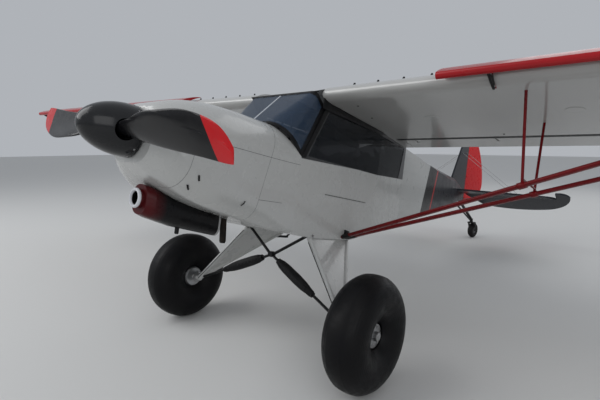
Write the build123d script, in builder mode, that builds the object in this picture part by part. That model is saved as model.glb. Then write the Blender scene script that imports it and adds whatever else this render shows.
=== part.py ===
# Two-seat high-wing taildragger with bush tyres, parked on its three wheels.
# Every piece is drawn in level flight attitude: +X to port, +Y aft, +Z up, in millimetres,
# from the middle of the main axle. PARKED then sets it on the ground, tail down.
import os
from math import cos, hypot, radians, sin, tan

from build123d import *

os.makedirs("parts", exist_ok=True)

# Clearances
seat = 0.3            # between pieces fixed to each other
running = 7           # round a control surface, a door or a wheel
pin_play = 0.3        # round a hinge pin

# Stance
ground_angle = 11.5
axle_height = 393.5
origin_aft = 2020     # from the main axle back to the middle of the overall length, on the ground

# Cabin
half_width = 370      # outside of the cabin sides
wall = 12
taper_start = 1000    # the sides run in from here aft
cabin_rear = 1650
rear_half_width = 304
belly_front = 548     # lower longerons, level from gear fitting to gear fitting
belly_slope = 0.188   # rise of the belly aft of the rear gear fitting
gear_front = 90
gear_rear = 640
side_front = -150     # where the nose skins end and the cabin sides start
side_top = 1575
sill = 1165
window_top = 1548
post_width = 46       # slanted front window posts
post_lean = 225 / 430
door_front = 160
door_rear = 950
door_sill = 800

# Nose, cowling and engine
cowl_wall = 6
seam_top = (-400, 1355)
seam_low = (-565, 690)
thrust_z = 1085
spinner_base = -1283
spinner_tip = -1591
spinner_radius = 155
hub_radius = 75
hub_nose = -1460
shaft_radius = 45
blade_axis = -1385
blade_tip = 1045
blade_rest_angle = 5.4
shank_radius = 38

# Wing
chord = 1600
root_x = 300
tip_x = 5360
bay_root = 425        # flap and aileron bay
bay_split = 2935
bay_tip = 4955
dihedral = tan(radians(0.9))
nose_z = 1660
crest = (480, 1788)
under_nose = (110, 1610)
edge_z = 1553         # trailing edge, lower side
edge_thick = 6
hinge_y = 1337
hinge_lift = 12       # hinge axis above the lower skin
lip = 3               # skin over the nose of flap and aileron
front_spar = 180
rear_spar = 900
strut_x = 3290

# Tail
fuselage_end = 4400
stern_post = fuselage_end + 105   # aft face of the fin's post
fin_foot = 1238
fin_top = 2345
stab_z = 1375
elevator_hinge = stern_post - 55
elevator_droop = 20   # it hangs on its lower stop
rudder_hinge = stern_post + 20
rudder_rest = 8       # turned to port
tail_thick = 26
torque_radius = 15

# Landing gear
track = 1990
wheel_x = track / 2
hub_inner = wheel_x - 100
hub_outer = wheel_x + 90
axle_end = hub_outer - 45
tyre_radius = 393.5
tyre_width = 300
bead_radius = 92
axle_radius = 19
leg_foot = wheel_x - 180
cabane_apex = (0, 68, 362)
tail_wheel_y = fuselage_end + 802
tail_tyre_radius = 130
tail_tyre_width = 90
# height that sets the tail wheel on the ground
tail_wheel_z = (
    tail_tyre_radius - axle_height + tail_wheel_y * sin(radians(ground_angle))
) / cos(radians(ground_angle))
trail = 70
fork_gap = 8

# Hinges of doors and control surfaces
pin_radius = 4
lug_radius = 10
lug_thick = 8
lug_room = 5


PARKED = Location((0, -origin_aft, axle_height), (-ground_angle, 0, 0))


def save(piece, node):
    """Set one finished piece on the ground and write it."""
    placed = piece.moved(PARKED)
    placed.label = node
    export_step(placed, f"parts/{node}.step")


def save_pair(left, name):
    """Write a port piece and its mirror image to starboard."""
    save(left.part, f"{name}_left")
    with BuildPart() as right:
        mirror(left.part, about=Plane.YZ)
    save(right.part, f"{name}_right")


def station(y):
    """Section plane across the aircraft: local x to port, local y up."""
    return Plane(origin=(0, y, 0), x_dir=(1, 0, 0), z_dir=(0, -1, 0))


def side(x):
    """Section plane along the aircraft: local x aft, local y up, facing port."""
    return Plane.YZ.offset(x)


def outline(*points):
    """A filled outline of straight lines inside the current sketch."""
    Polygon(*points, align=None)


def belly(y):
    """Height of the lower longerons."""
    if y < gear_front:
        return belly_front + (gear_front - y) * 31 / 240
    if y < gear_rear:
        return belly_front
    return belly_front + (y - gear_rear) * belly_slope


def bar(start, end, radius, mode=Mode.ADD):
    """A round bar between two points."""
    path = Vector(*end) - Vector(*start)
    with BuildSketch(Plane(origin=start, z_dir=path)) as section:
        Circle(radius)
    extrude(section.sketch, amount=path.length, mode=mode)


# Nose form: one loft from the cowling's front to the cabin, cut into cowling and nose skins
# columns: y, half width, top, bottom, upper corner radius, lower corner radius
NOSE_SECTIONS = (
    (-1275, 225, 1238, 905, 150, 150),
    (-1190, 325, 1288, 828, 200, 175),
    (-1060, 383, 1325, 752, 230, 160),
    (-820, 398, 1348, 678, 230, 140),
    (-450, half_width, 1355, 612, 230, 110),
    (side_front, half_width, 1355, belly(side_front), 230, 30),
)


def nose_form(grow, start=0, mode=Mode.ADD):
    """The nose's outer form, grown or shrunk all round."""
    sections = []
    for y, half, top, bottom, upper, lower in NOSE_SECTIONS:
        y += start if not sections else 0
        with BuildSketch(station(y)) as section:
            with Locations((0, (top + bottom) / 2)):
                Rectangle(2 * (half + grow), top - bottom + 2 * grow)
            fillet(section.vertices().group_by(Axis.Y)[-1], upper + grow)
            fillet(section.vertices().group_by(Axis.Y)[0], lower + grow)
        sections.append(section.sketch.face())
    loft(sections, mode=mode)


seam_plane = Plane(
    origin=(0, *seam_top),
    x_dir=(1, 0, 0),
    z_dir=(0, seam_top[1] - seam_low[1], seam_low[0] - seam_top[0]),
)
wind_base = (-378, 1350)
wind_side = (side_front, 1146)
wind_base_depth = hypot(wind_side[0] - wind_base[0], wind_side[1] - wind_base[1])
base_plane = Plane(
    origin=(0, *wind_base),
    x_dir=(1, 0, 0),
    z_dir=(0, wind_base[1] - wind_side[1], wind_side[0] - wind_base[0]),
)
wind_top = (-50, 1674)
post_top = (75, side_top)
wind_top_depth = hypot(post_top[0] - wind_top[0], post_top[1] - wind_top[1])
top_plane = Plane(
    origin=(0, *wind_top),
    x_dir=(1, 0, 0),
    z_dir=(0, wind_top[1] - post_top[1], post_top[0] - wind_top[0]),
)

reach = cabin_rear - NOSE_SECTIONS[0][0]   # longer than any cut across nose or cabin

# Cowling: a shell split level with the propeller shaft
inlet_x = 150
inlet_radius = 48
shaft_hole = shaft_radius + 15

with BuildPart() as cowling:
    nose_form(0)
    nose_form(-cowl_wall, start=cowl_wall, mode=Mode.SUBTRACT)
    with BuildSketch(seam_plane.offset(-seat)):
        Rectangle(reach, reach)
    extrude(amount=reach, mode=Mode.SUBTRACT)
    with BuildSketch(station(NOSE_SECTIONS[0][0] + 60)):
        with Locations((0, thrust_z)):
            Circle(shaft_hole)
        with Locations((-inlet_x, thrust_z), (inlet_x, thrust_z)):
            SlotCenterToCenter(30, 2 * inlet_radius, rotation=90)
    extrude(amount=200, mode=Mode.SUBTRACT)

with BuildPart() as cowl_upper:
    add(cowling.part)
    split(bisect_by=Plane.XY.offset(thrust_z), keep=Keep.TOP)
save(cowl_upper.part, "cowl_upper")

with BuildPart() as cowl_lower:
    add(cowling.part)
    split(bisect_by=Plane.XY.offset(thrust_z), keep=Keep.BOTTOM)
save(cowl_lower.part, "cowl_lower")

# Nose skins between the cowling and the cabin, with the firewall across their front
with BuildPart() as boot_room:
    nose_form(-wall)
    with BuildSketch(seam_plane.offset(wall)):
        Rectangle(reach, reach)
    extrude(amount=-reach, mode=Mode.SUBTRACT)

with BuildPart() as boot_cowl:
    nose_form(0)
    with BuildSketch(seam_plane):
        Rectangle(reach, reach)
    extrude(amount=-reach, mode=Mode.SUBTRACT)
    add(boot_room.part, mode=Mode.SUBTRACT)
    with BuildSketch(base_plane):
        Rectangle(reach, reach)
    extrude(amount=reach, mode=Mode.SUBTRACT)
save(boot_cowl.part, "boot_cowl")

# Engine: one plain block with the propeller shaft
engine_front = -1140
engine_rear = -575
with BuildPart() as engine_block:
    with BuildSketch(station(engine_rear)):
        with Locations((0, 1005)):
            Rectangle(560, 290)
    extrude(amount=engine_rear - engine_front)
    with BuildSketch(station(engine_front)):
        with Locations((0, thrust_z)):
            Circle(shaft_radius)
    extrude(amount=engine_front - spinner_base + 8)
    with BuildSketch(station(engine_rear + 60)):
        with Locations((0, 1005)):
            Rectangle(200, 120)
    extrude(amount=60)
save(engine_block.part, "engine_block")

# Air scoop and muffler shroud under the cowling
# columns: y, half width, top, bottom, corner radius
SCOOP_SECTIONS = (
    (-1172, 78, 790, 606, 66),
    (-1120, 104, 780, 588, 76),
    (-934, 114, 730, 543, 80),
    (-700, 112, 690, 512, 70),
    (-608, 104, 670, 500, 60),
)
scoop_inlet = 703
with BuildPart() as intake_scoop:
    for y, half, top, bottom, corner in SCOOP_SECTIONS:
        with BuildSketch(station(y)):
            with Locations((0, (top + bottom) / 2)):
                RectangleRounded(2 * half, top - bottom, corner)
    loft(ruled=True)
    with BuildSketch(station(-1150)):
        with Locations((0, scoop_inlet)):
            Circle(60)
    extrude(amount=48)
    nose_form(seat, mode=Mode.SUBTRACT)
    with BuildSketch(station(-1130)):
        with Locations((0, scoop_inlet)):
            Circle(38)
    extrude(amount=80, mode=Mode.SUBTRACT)
save(intake_scoop.part, "intake_scoop")

# Exhaust stub below the nose skins
with BuildPart() as exhaust_pipe:
    bar((0, -478, 455), (0, -500, 640), 24)
    nose_form(seat, mode=Mode.SUBTRACT)
    bar((0, -478, 455 - 10), (0, -484, 555), 20)
save(exhaust_pipe.part, "exhaust_pipe")

# Spinner and two-blade propeller
# columns: distance out, chord, thickness, pitch in degrees, sweep of the section's middle
BLADE_SECTIONS = (
    (90, 76, 76, 60, 0),
    (210, 128, 46, 48, 6),
    (420, 188, 30, 33, 26),
    (700, 206, 20, 22, 30),
    (920, 168, 12, 17, 4),
    (blade_tip, 70, 5, 14, -46),
)


def blade_stations():
    """The section faces of one blade, from its shank out to the tip."""
    faces = []
    for out, width, thick, pitch, sweep in BLADE_SECTIONS:
        lean = radians(pitch)
        across = Plane(
            origin=(out, blade_axis - sweep * sin(lean), thrust_z + sweep * cos(lean)),
            x_dir=(0, -sin(lean), cos(lean)),
            z_dir=(1, 0, 0),
        )
        with BuildSketch(across) as section:
            Ellipse(width / 2, thick / 2)
        faces.append(section.sketch.face())
    return faces


with BuildPart() as one_blade:
    loft(blade_stations())
    bar((0, blade_axis, thrust_z), (BLADE_SECTIONS[0][0], blade_axis, thrust_z), shank_radius)

hub_rear = spinner_base - 8 - seat
thrust_axis = Axis((0, 0, thrust_z), (0, 1, 0))
with BuildPart() as propeller:
    add(one_blade.part)
    add(one_blade.part.rotate(thrust_axis, 180))
    with BuildSketch(station(hub_rear)):
        with Locations((0, thrust_z)):
            Circle(hub_radius)
    extrude(amount=hub_rear - hub_nose)
save(propeller.part.rotate(thrust_axis, blade_rest_angle), "propeller")

with BuildPart() as spinner:
    with BuildSketch(side(0)):
        with BuildLine():
            Line((spinner_base, thrust_z), (spinner_base, thrust_z + spinner_radius))
            Line((spinner_base, thrust_z + spinner_radius), (spinner_base - 40, thrust_z + spinner_radius))
            Bezier(
                (spinner_base - 40, thrust_z + spinner_radius),
                (spinner_base - 190, thrust_z + spinner_radius),
                (spinner_tip, thrust_z + 78),
                (spinner_tip, thrust_z + 4),
            )
            Line((spinner_tip, thrust_z + 4), (spinner_tip, thrust_z))
            Line((spinner_tip, thrust_z), (spinner_base, thrust_z))
        make_face()
    revolve(axis=thrust_axis)
    with BuildSketch(station(spinner_base)):
        with Locations((0, thrust_z)):
            Circle(hub_radius + seat)
    extrude(amount=spinner_base - hub_nose + seat, mode=Mode.SUBTRACT)
    for out in (-1, 1):
        bar(
            (0, blade_axis, thrust_z),
            (out * 2 * spinner_radius, blade_axis, thrust_z),
            shank_radius + 22,
            mode=Mode.SUBTRACT,
        )
save(spinner.part.rotate(thrust_axis, blade_rest_angle), "spinner")

# Windshield: one curved sheet from the nose skins up to the roof
glass = 5
base_half = 366
top_half = 352


def arch(plane, half, depth, corner):
    """A thin arch lying in a slanted plane, open towards the cabin sides."""
    with BuildSketch(plane) as section:
        Rectangle(2 * half, depth, align=(Align.CENTER, Align.MIN))
        fillet(section.vertices().group_by(Axis.Y)[0], corner)
        with BuildSketch(mode=Mode.PRIVATE) as room:
            with Locations((0, glass)):
                Rectangle(2 * (half - glass), depth, align=(Align.CENTER, Align.MIN))
            fillet(room.vertices().group_by(Axis.Y)[0], corner - glass)
        add(room.sketch, mode=Mode.SUBTRACT)
    return section.sketch.face()


with BuildPart() as windshield:
    loft(
        [
            arch(base_plane.offset(seat), base_half, wind_base_depth, 200),
            arch(top_plane.offset(-seat), top_half, wind_top_depth, 50),
        ],
        ruled=True,
    )
save(windshield.part, "windshield")


# Cabin sides, cut to the fuselage's plan
def plan_band(outer, inner):
    """Wall of one cabin side seen from above, between two distances inside its outer face."""
    aft = cabin_rear
    with BuildSketch() as band:
        outline(
            (half_width - outer, side_front),
            (half_width - outer, taper_start),
            (rear_half_width - outer, aft),
            (rear_half_width - inner, aft),
            (half_width - inner, taper_start),
            (half_width - inner, side_front),
        )
    extrude(band.sketch, amount=2 * side_top, mode=Mode.INTERSECT)


post_slant = post_width + seat
SIDE_OUTLINE = (
    (side_front, belly(side_front)),
    (gear_front, belly_front),
    (gear_rear, belly_front),
    (cabin_rear, belly(cabin_rear)),
    (cabin_rear, side_top),
    (post_top[0] + post_slant, side_top),
    (wind_side[0] + post_slant, wind_side[1]),
    (side_front, wind_side[1]),
)


def window_front(z):
    """Front edge of the side windows, parallel to the slanted post."""
    return wind_side[0] + post_slant + 15 + (z - wind_side[1]) * post_lean


WINDOW_LEFT = (
    (window_front(sill), sill),
    (990, sill + 10),
    (1520, sill + 47),
    (cabin_rear - 50, window_top),
    (window_front(window_top), window_top),
)
QUARTER_WINDOW = (
    (window_front(sill), sill),
    (door_front - 25, sill),
    (door_front - 25, window_top),
    (window_front(window_top), window_top),
)
REAR_WINDOW = (
    (door_rear + 35, sill + 10),
    (1520, sill + 47),
    (cabin_rear - 50, window_top),
    (door_rear + 35, window_top),
)
DOOR_OPENING = (
    (door_front, door_sill),
    (door_rear, door_sill),
    (door_rear, window_top),
    (door_front, window_top),
)

with BuildPart() as cabin_side_left:
    with BuildSketch(side(0)):
        outline(*SIDE_OUTLINE)
        with BuildSketch(mode=Mode.PRIVATE) as window:
            outline(*WINDOW_LEFT)
        add(window.sketch, mode=Mode.SUBTRACT)
    extrude(amount=half_width)
    plan_band(0, wall)
save(cabin_side_left.part, "cabin_side_left")

with BuildPart() as cabin_side_blank:
    with BuildSketch(side(0)):
        outline(*SIDE_OUTLINE)
    extrude(amount=half_width)
    for hole in (QUARTER_WINDOW, REAR_WINDOW, DOOR_OPENING):
        with BuildSketch(side(0)):
            outline(*hole)
        extrude(amount=half_width, mode=Mode.SUBTRACT)
    plan_band(0, wall)

# Hinges: a lug on the fixed piece, a notch and a pin on the moving one
def hinge_notch(point, along, room):
    """Cut room for a lug out of a moving piece and put the pin across it."""
    across = Plane(origin=point, z_dir=along)
    length = lug_thick + 2 * lug_room
    with BuildSketch(across.offset(-length / 2)) as gap:
        Circle(room)
    extrude(gap.sketch, amount=length, mode=Mode.SUBTRACT)
    with BuildSketch(across.offset(-length / 2 - 6)) as pin:
        Circle(pin_radius)
    extrude(pin.sketch, amount=length + 12)


def hinge_lug(point, along, foot, height):
    """A lug round the hinge axis, standing on a foot point of the fixed piece."""
    centre = Vector(*point)
    reach_out = Vector(*foot) - centre
    across = Plane(origin=point, x_dir=reach_out, z_dir=along)
    with BuildSketch(across) as lug:
        Circle(lug_radius)
        with Locations((reach_out.length / 2, 0)):
            Rectangle(reach_out.length, height)
        Circle(pin_radius + pin_play, mode=Mode.SUBTRACT)
    extrude(lug.sketch, amount=lug_thick / 2, both=True)


# Cabin doors to starboard: the upper half lifts, the lower half drops
door_axis_x = -half_width - 8
door_low_axis = door_sill + 2
door_high_axis = window_top + 14
door_split = sill + 4
door_hinges = (door_front + 120, door_rear - 120)
door_gap = 6

with BuildPart() as cabin_side_right:
    mirror(cabin_side_blank.part, about=Plane.YZ)
    for y in door_hinges:
        for z, foot_z in ((door_low_axis, door_sill - 25), (door_high_axis, door_high_axis + 8)):
            hinge_lug((door_axis_x, y, z), (0, 1, 0), (-half_width + 1, y, foot_z), 8)
save(cabin_side_right.part, "cabin_side_right")


def door_leaf(low, high, axis_z, edge_z):
    """One door panel with ears and pins at its two hinges."""
    with BuildSketch(side(-half_width)) as leaf:
        outline(
            (door_front + door_gap, low),
            (door_rear - door_gap, low),
            (door_rear - door_gap, high),
            (door_front + door_gap, high),
        )
    extrude(leaf.sketch, amount=wall)
    length = lug_thick + 2
    for y in door_hinges:
        for ear_y in (y - length / 2 - 3, y + length / 2 + 3):
            middle = Plane(origin=(door_axis_x, ear_y, axis_z), x_dir=(1, 0, 0), z_dir=(0, -1, 0))
            with BuildSketch(middle) as ear:
                Circle(lug_radius - 2)
                outline(
                    (-4, 0),
                    (4, 0),
                    (door_axis_x * -1 - half_width + 6, edge_z - axis_z),
                    (door_axis_x * -1 - half_width - 2, edge_z - axis_z),
                )
            extrude(ear.sketch, amount=3, both=True)
        bar(
            (door_axis_x, y - length / 2 - 6, axis_z),
            (door_axis_x, y + length / 2 + 6, axis_z),
            pin_radius,
        )


with BuildPart() as door_lower:
    door_leaf(door_sill + 10, door_split - 3, door_low_axis, door_sill + 30)
save(door_lower.part, "door_lower")

door_rim = 32
with BuildPart() as door_upper:
    door_leaf(door_split + 3, window_top - 8, door_high_axis, window_top - 30)
    with BuildSketch(side(-half_width)):
        outline(
            (door_front + door_gap + door_rim, door_split + door_rim),
            (door_rear - door_gap - door_rim, door_split + door_rim),
            (door_rear - door_gap - door_rim, window_top - 8 - door_rim),
            (door_front + door_gap + door_rim, window_top - 8 - door_rim),
        )
    extrude(amount=wall, mode=Mode.SUBTRACT)
save(door_upper.part, "door_upper")

with BuildPart() as door_window:
    rim = door_rim + seat
    with BuildSketch(side(-half_width + wall / 2 - glass / 2)):
        outline(
            (door_front + door_gap + rim, door_split + rim),
            (door_rear - door_gap - rim, door_split + rim),
            (door_rear - door_gap - rim, window_top - 8 - rim),
            (door_front + door_gap + rim, window_top - 8 - rim),
        )
    extrude(amount=glass)
save(door_window.part, "door_window")

# Fixed side windows: panes in the middle of the cabin walls
pane_out = wall / 2 - glass / 2
with BuildPart() as pane_left:
    with BuildSketch(side(0)) as left_pane:
        outline(*WINDOW_LEFT)
        offset(amount=-seat, mode=Mode.REPLACE)
    extrude(amount=half_width)
    plan_band(pane_out, pane_out + glass)

with BuildPart() as panes_right:
    for hole in (QUARTER_WINDOW, REAR_WINDOW):
        with BuildSketch(side(0)):
            outline(*hole)
            offset(amount=-seat, mode=Mode.REPLACE)
        extrude(amount=half_width)
    plan_band(pane_out, pane_out + glass)

with BuildPart() as side_windows:
    add(pane_left.part)
    mirror(panes_right.part, about=Plane.YZ)
save(side_windows.part, "side_windows")

# Cabin roof between the wings, with its skylight
roof_wall = 8
skylight_front = 130
skylight_rear = 1180
skylight_half = 270


def roof_profile(inset):
    """Side view of the space between the wing roots, above the cabin sides."""
    with BuildLine() as top:
        Line((post_top[0], side_top + seat), (wind_top[0], wind_top[1]))
        ThreePointArc(wind_top, (190, 1757 - inset), (480, 1786 - inset))
        ThreePointArc((480, 1786 - inset), (900, 1744 - inset), (1250, 1672 - inset))
        Line((1250, 1672 - inset), (cabin_rear, 1614 - inset))
        Line((cabin_rear, 1614 - inset), (cabin_rear, side_top + seat))
        Line((cabin_rear, side_top + seat), (post_top[0], side_top + seat))
    make_face(top.edges())


with BuildPart() as roof_block:
    with BuildSketch(side(0)):
        roof_profile(0)
    extrude(amount=half_width, both=True)
    with BuildSketch() as roof_plan:
        outline(
            (-half_width, -400),
            (half_width, -400),
            (half_width, taper_start),
            (rear_half_width, cabin_rear),
            (-rear_half_width, cabin_rear),
            (-half_width, taper_start),
        )
    extrude(roof_plan.sketch, amount=reach, mode=Mode.INTERSECT)

with BuildPart() as cabin_roof:
    add(roof_block.part)
    with BuildSketch(side(0)) as roof_room:
        with BuildLine():
            Line((post_top[0] - 400, side_top - 200), (wind_top[0] - 200, wind_top[1] - roof_wall))
            Line((wind_top[0] - 200, wind_top[1] - roof_wall), (wind_top[0] + 5, wind_top[1] - roof_wall))
            ThreePointArc((wind_top[0] + 5, wind_top[1] - roof_wall), (190, 1747), (480, 1778))
            ThreePointArc((480, 1778), (900, 1736), (1250, 1664))
            Line((1250, 1664), (cabin_rear + 200, 1578))
            Line((cabin_rear + 200, 1578), (cabin_rear + 200, side_top - 200))
            Line((cabin_rear + 200, side_top - 200), (post_top[0] - 400, side_top - 200))
        make_face()
    with BuildPart(mode=Mode.PRIVATE) as roof_inside:
        extrude(roof_room.sketch, amount=half_width, both=True)
        with BuildSketch() as room_plan:
            outline(
                (-half_width + wall, -400),
                (half_width - wall, -400),
                (half_width - wall, taper_start),
                (rear_half_width - wall, cabin_rear),
                (rear_half_width - wall, cabin_rear + 300),
                (-rear_half_width + wall, cabin_rear + 300),
                (-rear_half_width + wall, cabin_rear),
                (-half_width + wall, taper_start),
            )
        extrude(room_plan.sketch, amount=reach, mode=Mode.INTERSECT)
    add(roof_inside.part, mode=Mode.SUBTRACT)
    with BuildSketch(Plane.XY.offset(side_top)):
        with Locations((0, (skylight_front + skylight_rear) / 2)):
            RectangleRounded(2 * skylight_half, skylight_rear - skylight_front, 40)
    extrude(amount=400, mode=Mode.SUBTRACT)
save(cabin_roof.part, "cabin_roof")

with BuildPart() as skylight:
    with BuildSketch(side(0)) as sky_band:
        roof_profile(1)
        with BuildSketch(mode=Mode.PRIVATE) as sky_low:
            roof_profile(1 + glass)
        add(sky_low.sketch, mode=Mode.SUBTRACT)
    extrude(amount=half_width, both=True)
    with BuildSketch(Plane.XY.offset(side_top + 60)):
        with Locations((0, (skylight_front + skylight_rear) / 2)):
            RectangleRounded(
                2 * (skylight_half - seat), skylight_rear - skylight_front - 2 * seat, 40 - seat
            )
    extrude(amount=400, mode=Mode.INTERSECT)
save(skylight.part, "skylight")

# Slanted window posts, and the tubes that brace the cabin behind the windshield
tube_radius = 11
with BuildPart() as cabin_frame:
    for x in (-half_width, half_width - 30):
        with BuildSketch(side(x)):
            outline(
                (wind_side[0] + 2, wind_side[1] + seat),
                (post_top[0] + 2, side_top),
                (post_top[0] + post_width, side_top),
                (wind_side[0] + post_width, wind_side[1] + seat),
            )
        extrude(amount=30)
    inner = half_width - 30 - seat
    bar((-inner, 95, 1556), (inner, 95, 1556), tube_radius)
    for x in (-1, 1):
        bar((x * 150, -75, 1185 + 40), (x * 22, 88, 1530), tube_radius - 3)
save(cabin_frame.part, "cabin_frame")

# Belly skin between the cabin sides, which is also the floor
with BuildPart() as belly_panel:
    with BuildSketch(side(0)):
        outline(
            (side_front + seat, belly(side_front)),
            (gear_front, belly_front),
            (gear_rear, belly_front),
            (cabin_rear, belly(cabin_rear)),
            (cabin_rear, belly(cabin_rear) + wall),
            (gear_rear, belly_front + wall),
            (gear_front, belly_front + wall),
            (side_front + seat, belly(side_front) + wall),
        )
    extrude(amount=half_width, both=True)
    with BuildSketch() as belly_plan:
        outline(
            (-half_width + wall + seat, -400),
            (half_width - wall - seat, -400),
            (half_width - wall - seat, taper_start),
            (rear_half_width - wall - seat, cabin_rear),
            (-rear_half_width + wall + seat, cabin_rear),
            (-half_width + wall + seat, taper_start),
        )
    extrude(belly_plan.sketch, amount=reach, mode=Mode.INTERSECT)
save(belly_panel.part, "belly_panel")

# Boarding step hung under the starboard longeron
step_x = -half_width + wall / 2
step_radius = 12
post_radius = 9
step_front = 665
step_rear = 800
step_drop = 88
step_out = 135
with BuildPart() as boarding_step:
    for y in (step_front, step_rear):
        bar((step_x, y, belly(y) - seat), (step_x - step_out, y, belly_front - step_drop), post_radius)
    bar(
        (step_x - step_out, step_front - 2 * post_radius, belly_front - step_drop),
        (step_x - step_out, step_rear + 2 * post_radius, belly_front - step_drop),
        step_radius,
    )
    with BuildSketch(side(-1000)) as belly_line:
        outline(
            (gear_rear - 100, belly_front - seat),
            (gear_rear, belly_front - seat),
            (cabin_rear, belly(cabin_rear) - seat),
            (cabin_rear, belly(cabin_rear) + 400),
            (gear_rear - 100, belly_front + 400),
        )
    extrude(belly_line.sketch, amount=2000, mode=Mode.SUBTRACT)
save(boarding_step.part, "boarding_step")

# Instrument panel under the windshield
panel_y = -110
with BuildPart() as instrument_panel:
    with BuildSketch(station(panel_y)):
        outline((-335, 965), (335, 965), (335, 1090), (240, 1185), (-240, 1185), (-335, 1090))
    extrude(amount=18)
    for x in (-1, 1):
        bar((x * (half_width - wall - seat), panel_y - 9, 1000), (x * 330, panel_y - 9, 1000), 6)
save(instrument_panel.part, "instrument_panel")

# Seats, one behind the other: columns: name, front edge, width, top of cushion
SEATS = (
    ("front_seat", 260, 430, 800),
    ("rear_seat", 1010, 460, 840),
)
seat_depth = 420
back_height = 480
for name, front, width, top in SEATS:
    rear = front + seat_depth
    with BuildPart() as chair:
        with BuildSketch(side(-width / 2)):
            outline(
                (front + 40, belly(front + 40) + wall + seat),
                (rear - 60, belly(rear - 60) + wall + seat),
                (rear - 40, top - 40),
                (rear + 120, top + back_height),
                (rear + 60, top + back_height + 10),
                (rear - 90, top + 10),
                (front, top),
                (front, top - 90),
                (front + 40, top - 100),
            )
        extrude(amount=width)
        fillet(chair.edges().filter_by(Axis.X), 9)
    save(chair.part, name)

# Control sticks: columns: distance aft, height of the grip, height of the foot over the floor
STICKS = (
    (190, 900, 1),
    (960, 930, 1.8),
)
with BuildPart() as control_sticks:
    for y, z, foot in STICKS:
        bar((0, y, belly(y) + wall + foot), (0, y - 20, z), 11)
save(control_sticks.part, "control_sticks")

# Rear fuselage: solid, its lower half flat-sided, its back rounded
# columns: y, half width, lower, side top, crown
REAR_SECTIONS = (
    (cabin_rear + seat, rear_half_width, belly(cabin_rear), side_top - 20, 1612),
    (fuselage_end - 500, 88, belly(fuselage_end - 500), 1450, 1540),
    (fuselage_end, 30, 1250, 1402, 1424),
)
with BuildPart() as rear_fuselage:
    faces = []
    for y, half, lower, upper, crown in REAR_SECTIONS:
        with BuildSketch(station(y)) as section:
            with BuildLine():
                Line((-half, lower), (half, lower))
                Line((half, lower), (half, upper))
                ThreePointArc((half, upper), (0, crown), (-half, upper))
                Line((-half, upper), (-half, lower))
            make_face()
        faces.append(section.sketch.face())
    loft(faces, ruled=True)
save(rear_fuselage.part, "rear_fuselage")

# Wing section, seen from port: flat below, domed above
def section_top(y):
    """Height of the upper skin aft of the crest."""
    x0, z0 = crest
    x1, z1 = bay_lip
    radius = ((x1 - x0) ** 2 + (z0 - z1) ** 2) / (2 * (z0 - z1))
    return z0 - radius + (radius**2 - (y - x0) ** 2) ** 0.5


def under(y):
    """Height of the flat lower skin."""
    share = (y - under_nose[0]) / (chord - under_nose[0])
    return under_nose[1] + share * (edge_z - under_nose[1])


bay_lip = (1250, 1652)
hinge_z = under(hinge_y) + hinge_lift
lip_share = (hinge_y - bay_lip[0]) / (chord - bay_lip[0])
lip_z = bay_lip[1] + lip_share * (edge_z + edge_thick - bay_lip[1])
nose_radius = lip_z - lip - running - hinge_z
along_wing = Vector(1, 0, dihedral)


def lift(x):
    """How far the dihedral raises the wing at a distance out from the middle."""
    return x * dihedral


def wing_outline(grow=0, share=1, thick=1):
    """The whole wing section as a sketch on the middle plane, smaller towards the tip."""

    def at(y, z):
        return (tip_pivot[0] + (y - tip_pivot[0]) * share, tip_pivot[1] + (z - tip_pivot[1]) * thick)

    with BuildSketch(side(0)) as rib:
        with BuildLine() as skin:
            EllipticalCenterArc(
                at(crest[0], nose_z),
                crest[0] * share,
                (crest[1] - nose_z) * thick,
                start_angle=90,
                arc_size=90,
            )
            EllipticalCenterArc(
                at(under_nose[0], nose_z),
                under_nose[0] * share,
                (nose_z - under_nose[1]) * thick,
                start_angle=180,
                arc_size=90,
            )
            Line(at(*under_nose), at(chord, edge_z))
            Line(at(chord, edge_z), at(chord, edge_z + edge_thick))
            Line(at(chord, edge_z + edge_thick), at(*bay_lip))
            middle = (crest[0] + bay_lip[0]) / 2
            ThreePointArc(at(*bay_lip), at(middle, section_top(middle)), at(*crest))
        make_face(skin.edges())
        if grow:
            offset(amount=grow)
    return rib.sketch


def wing_solid(sketch, start, end, mode=Mode.ADD):
    """A wing section drawn out between two distances from the middle."""
    extrude(
        sketch.moved(Location((start, 0, lift(start)))),
        amount=(end - start) * along_wing.length,
        dir=along_wing,
        mode=mode,
    )


def control_outline():
    """Section of a flap or aileron, its nose round the hinge axis."""
    with BuildSketch(side(0)) as shape:
        start = hinge_y - nose_radius
        with BuildLine() as skin:
            nose_low = (start, under(start))
            Line(nose_low, (chord, edge_z))
            Line((chord, edge_z), (chord, edge_z + edge_thick))
            Line((chord, edge_z + edge_thick), (hinge_y, hinge_z + nose_radius))
            CenterArc((hinge_y, hinge_z), nose_radius, 90, 90)
            Line((start, hinge_z), nose_low)
        make_face(skin.edges())
    return shape.sketch


def bay_outline():
    """What the wing loses round a flap or aileron."""
    room = nose_radius + running
    with BuildSketch(side(0)) as shape:
        with BuildLine() as edge:
            CenterArc((hinge_y, hinge_z), room, 90, 90)
            Line((hinge_y - room, hinge_z), (hinge_y - room, hinge_z - 100))
            Line((hinge_y - room, hinge_z - 100), (chord + 100, hinge_z - 100))
            Line((chord + 100, hinge_z - 100), (chord + 100, hinge_z + 200))
            Line((chord + 100, hinge_z + 200), (hinge_y, hinge_z + 200))
            Line((hinge_y, hinge_z + 200), (hinge_y, hinge_z + room))
        make_face(edge.edges())
    return shape.sketch


tip_pivot = (672, 1645)   # the tip's ribs shrink towards this point
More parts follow.
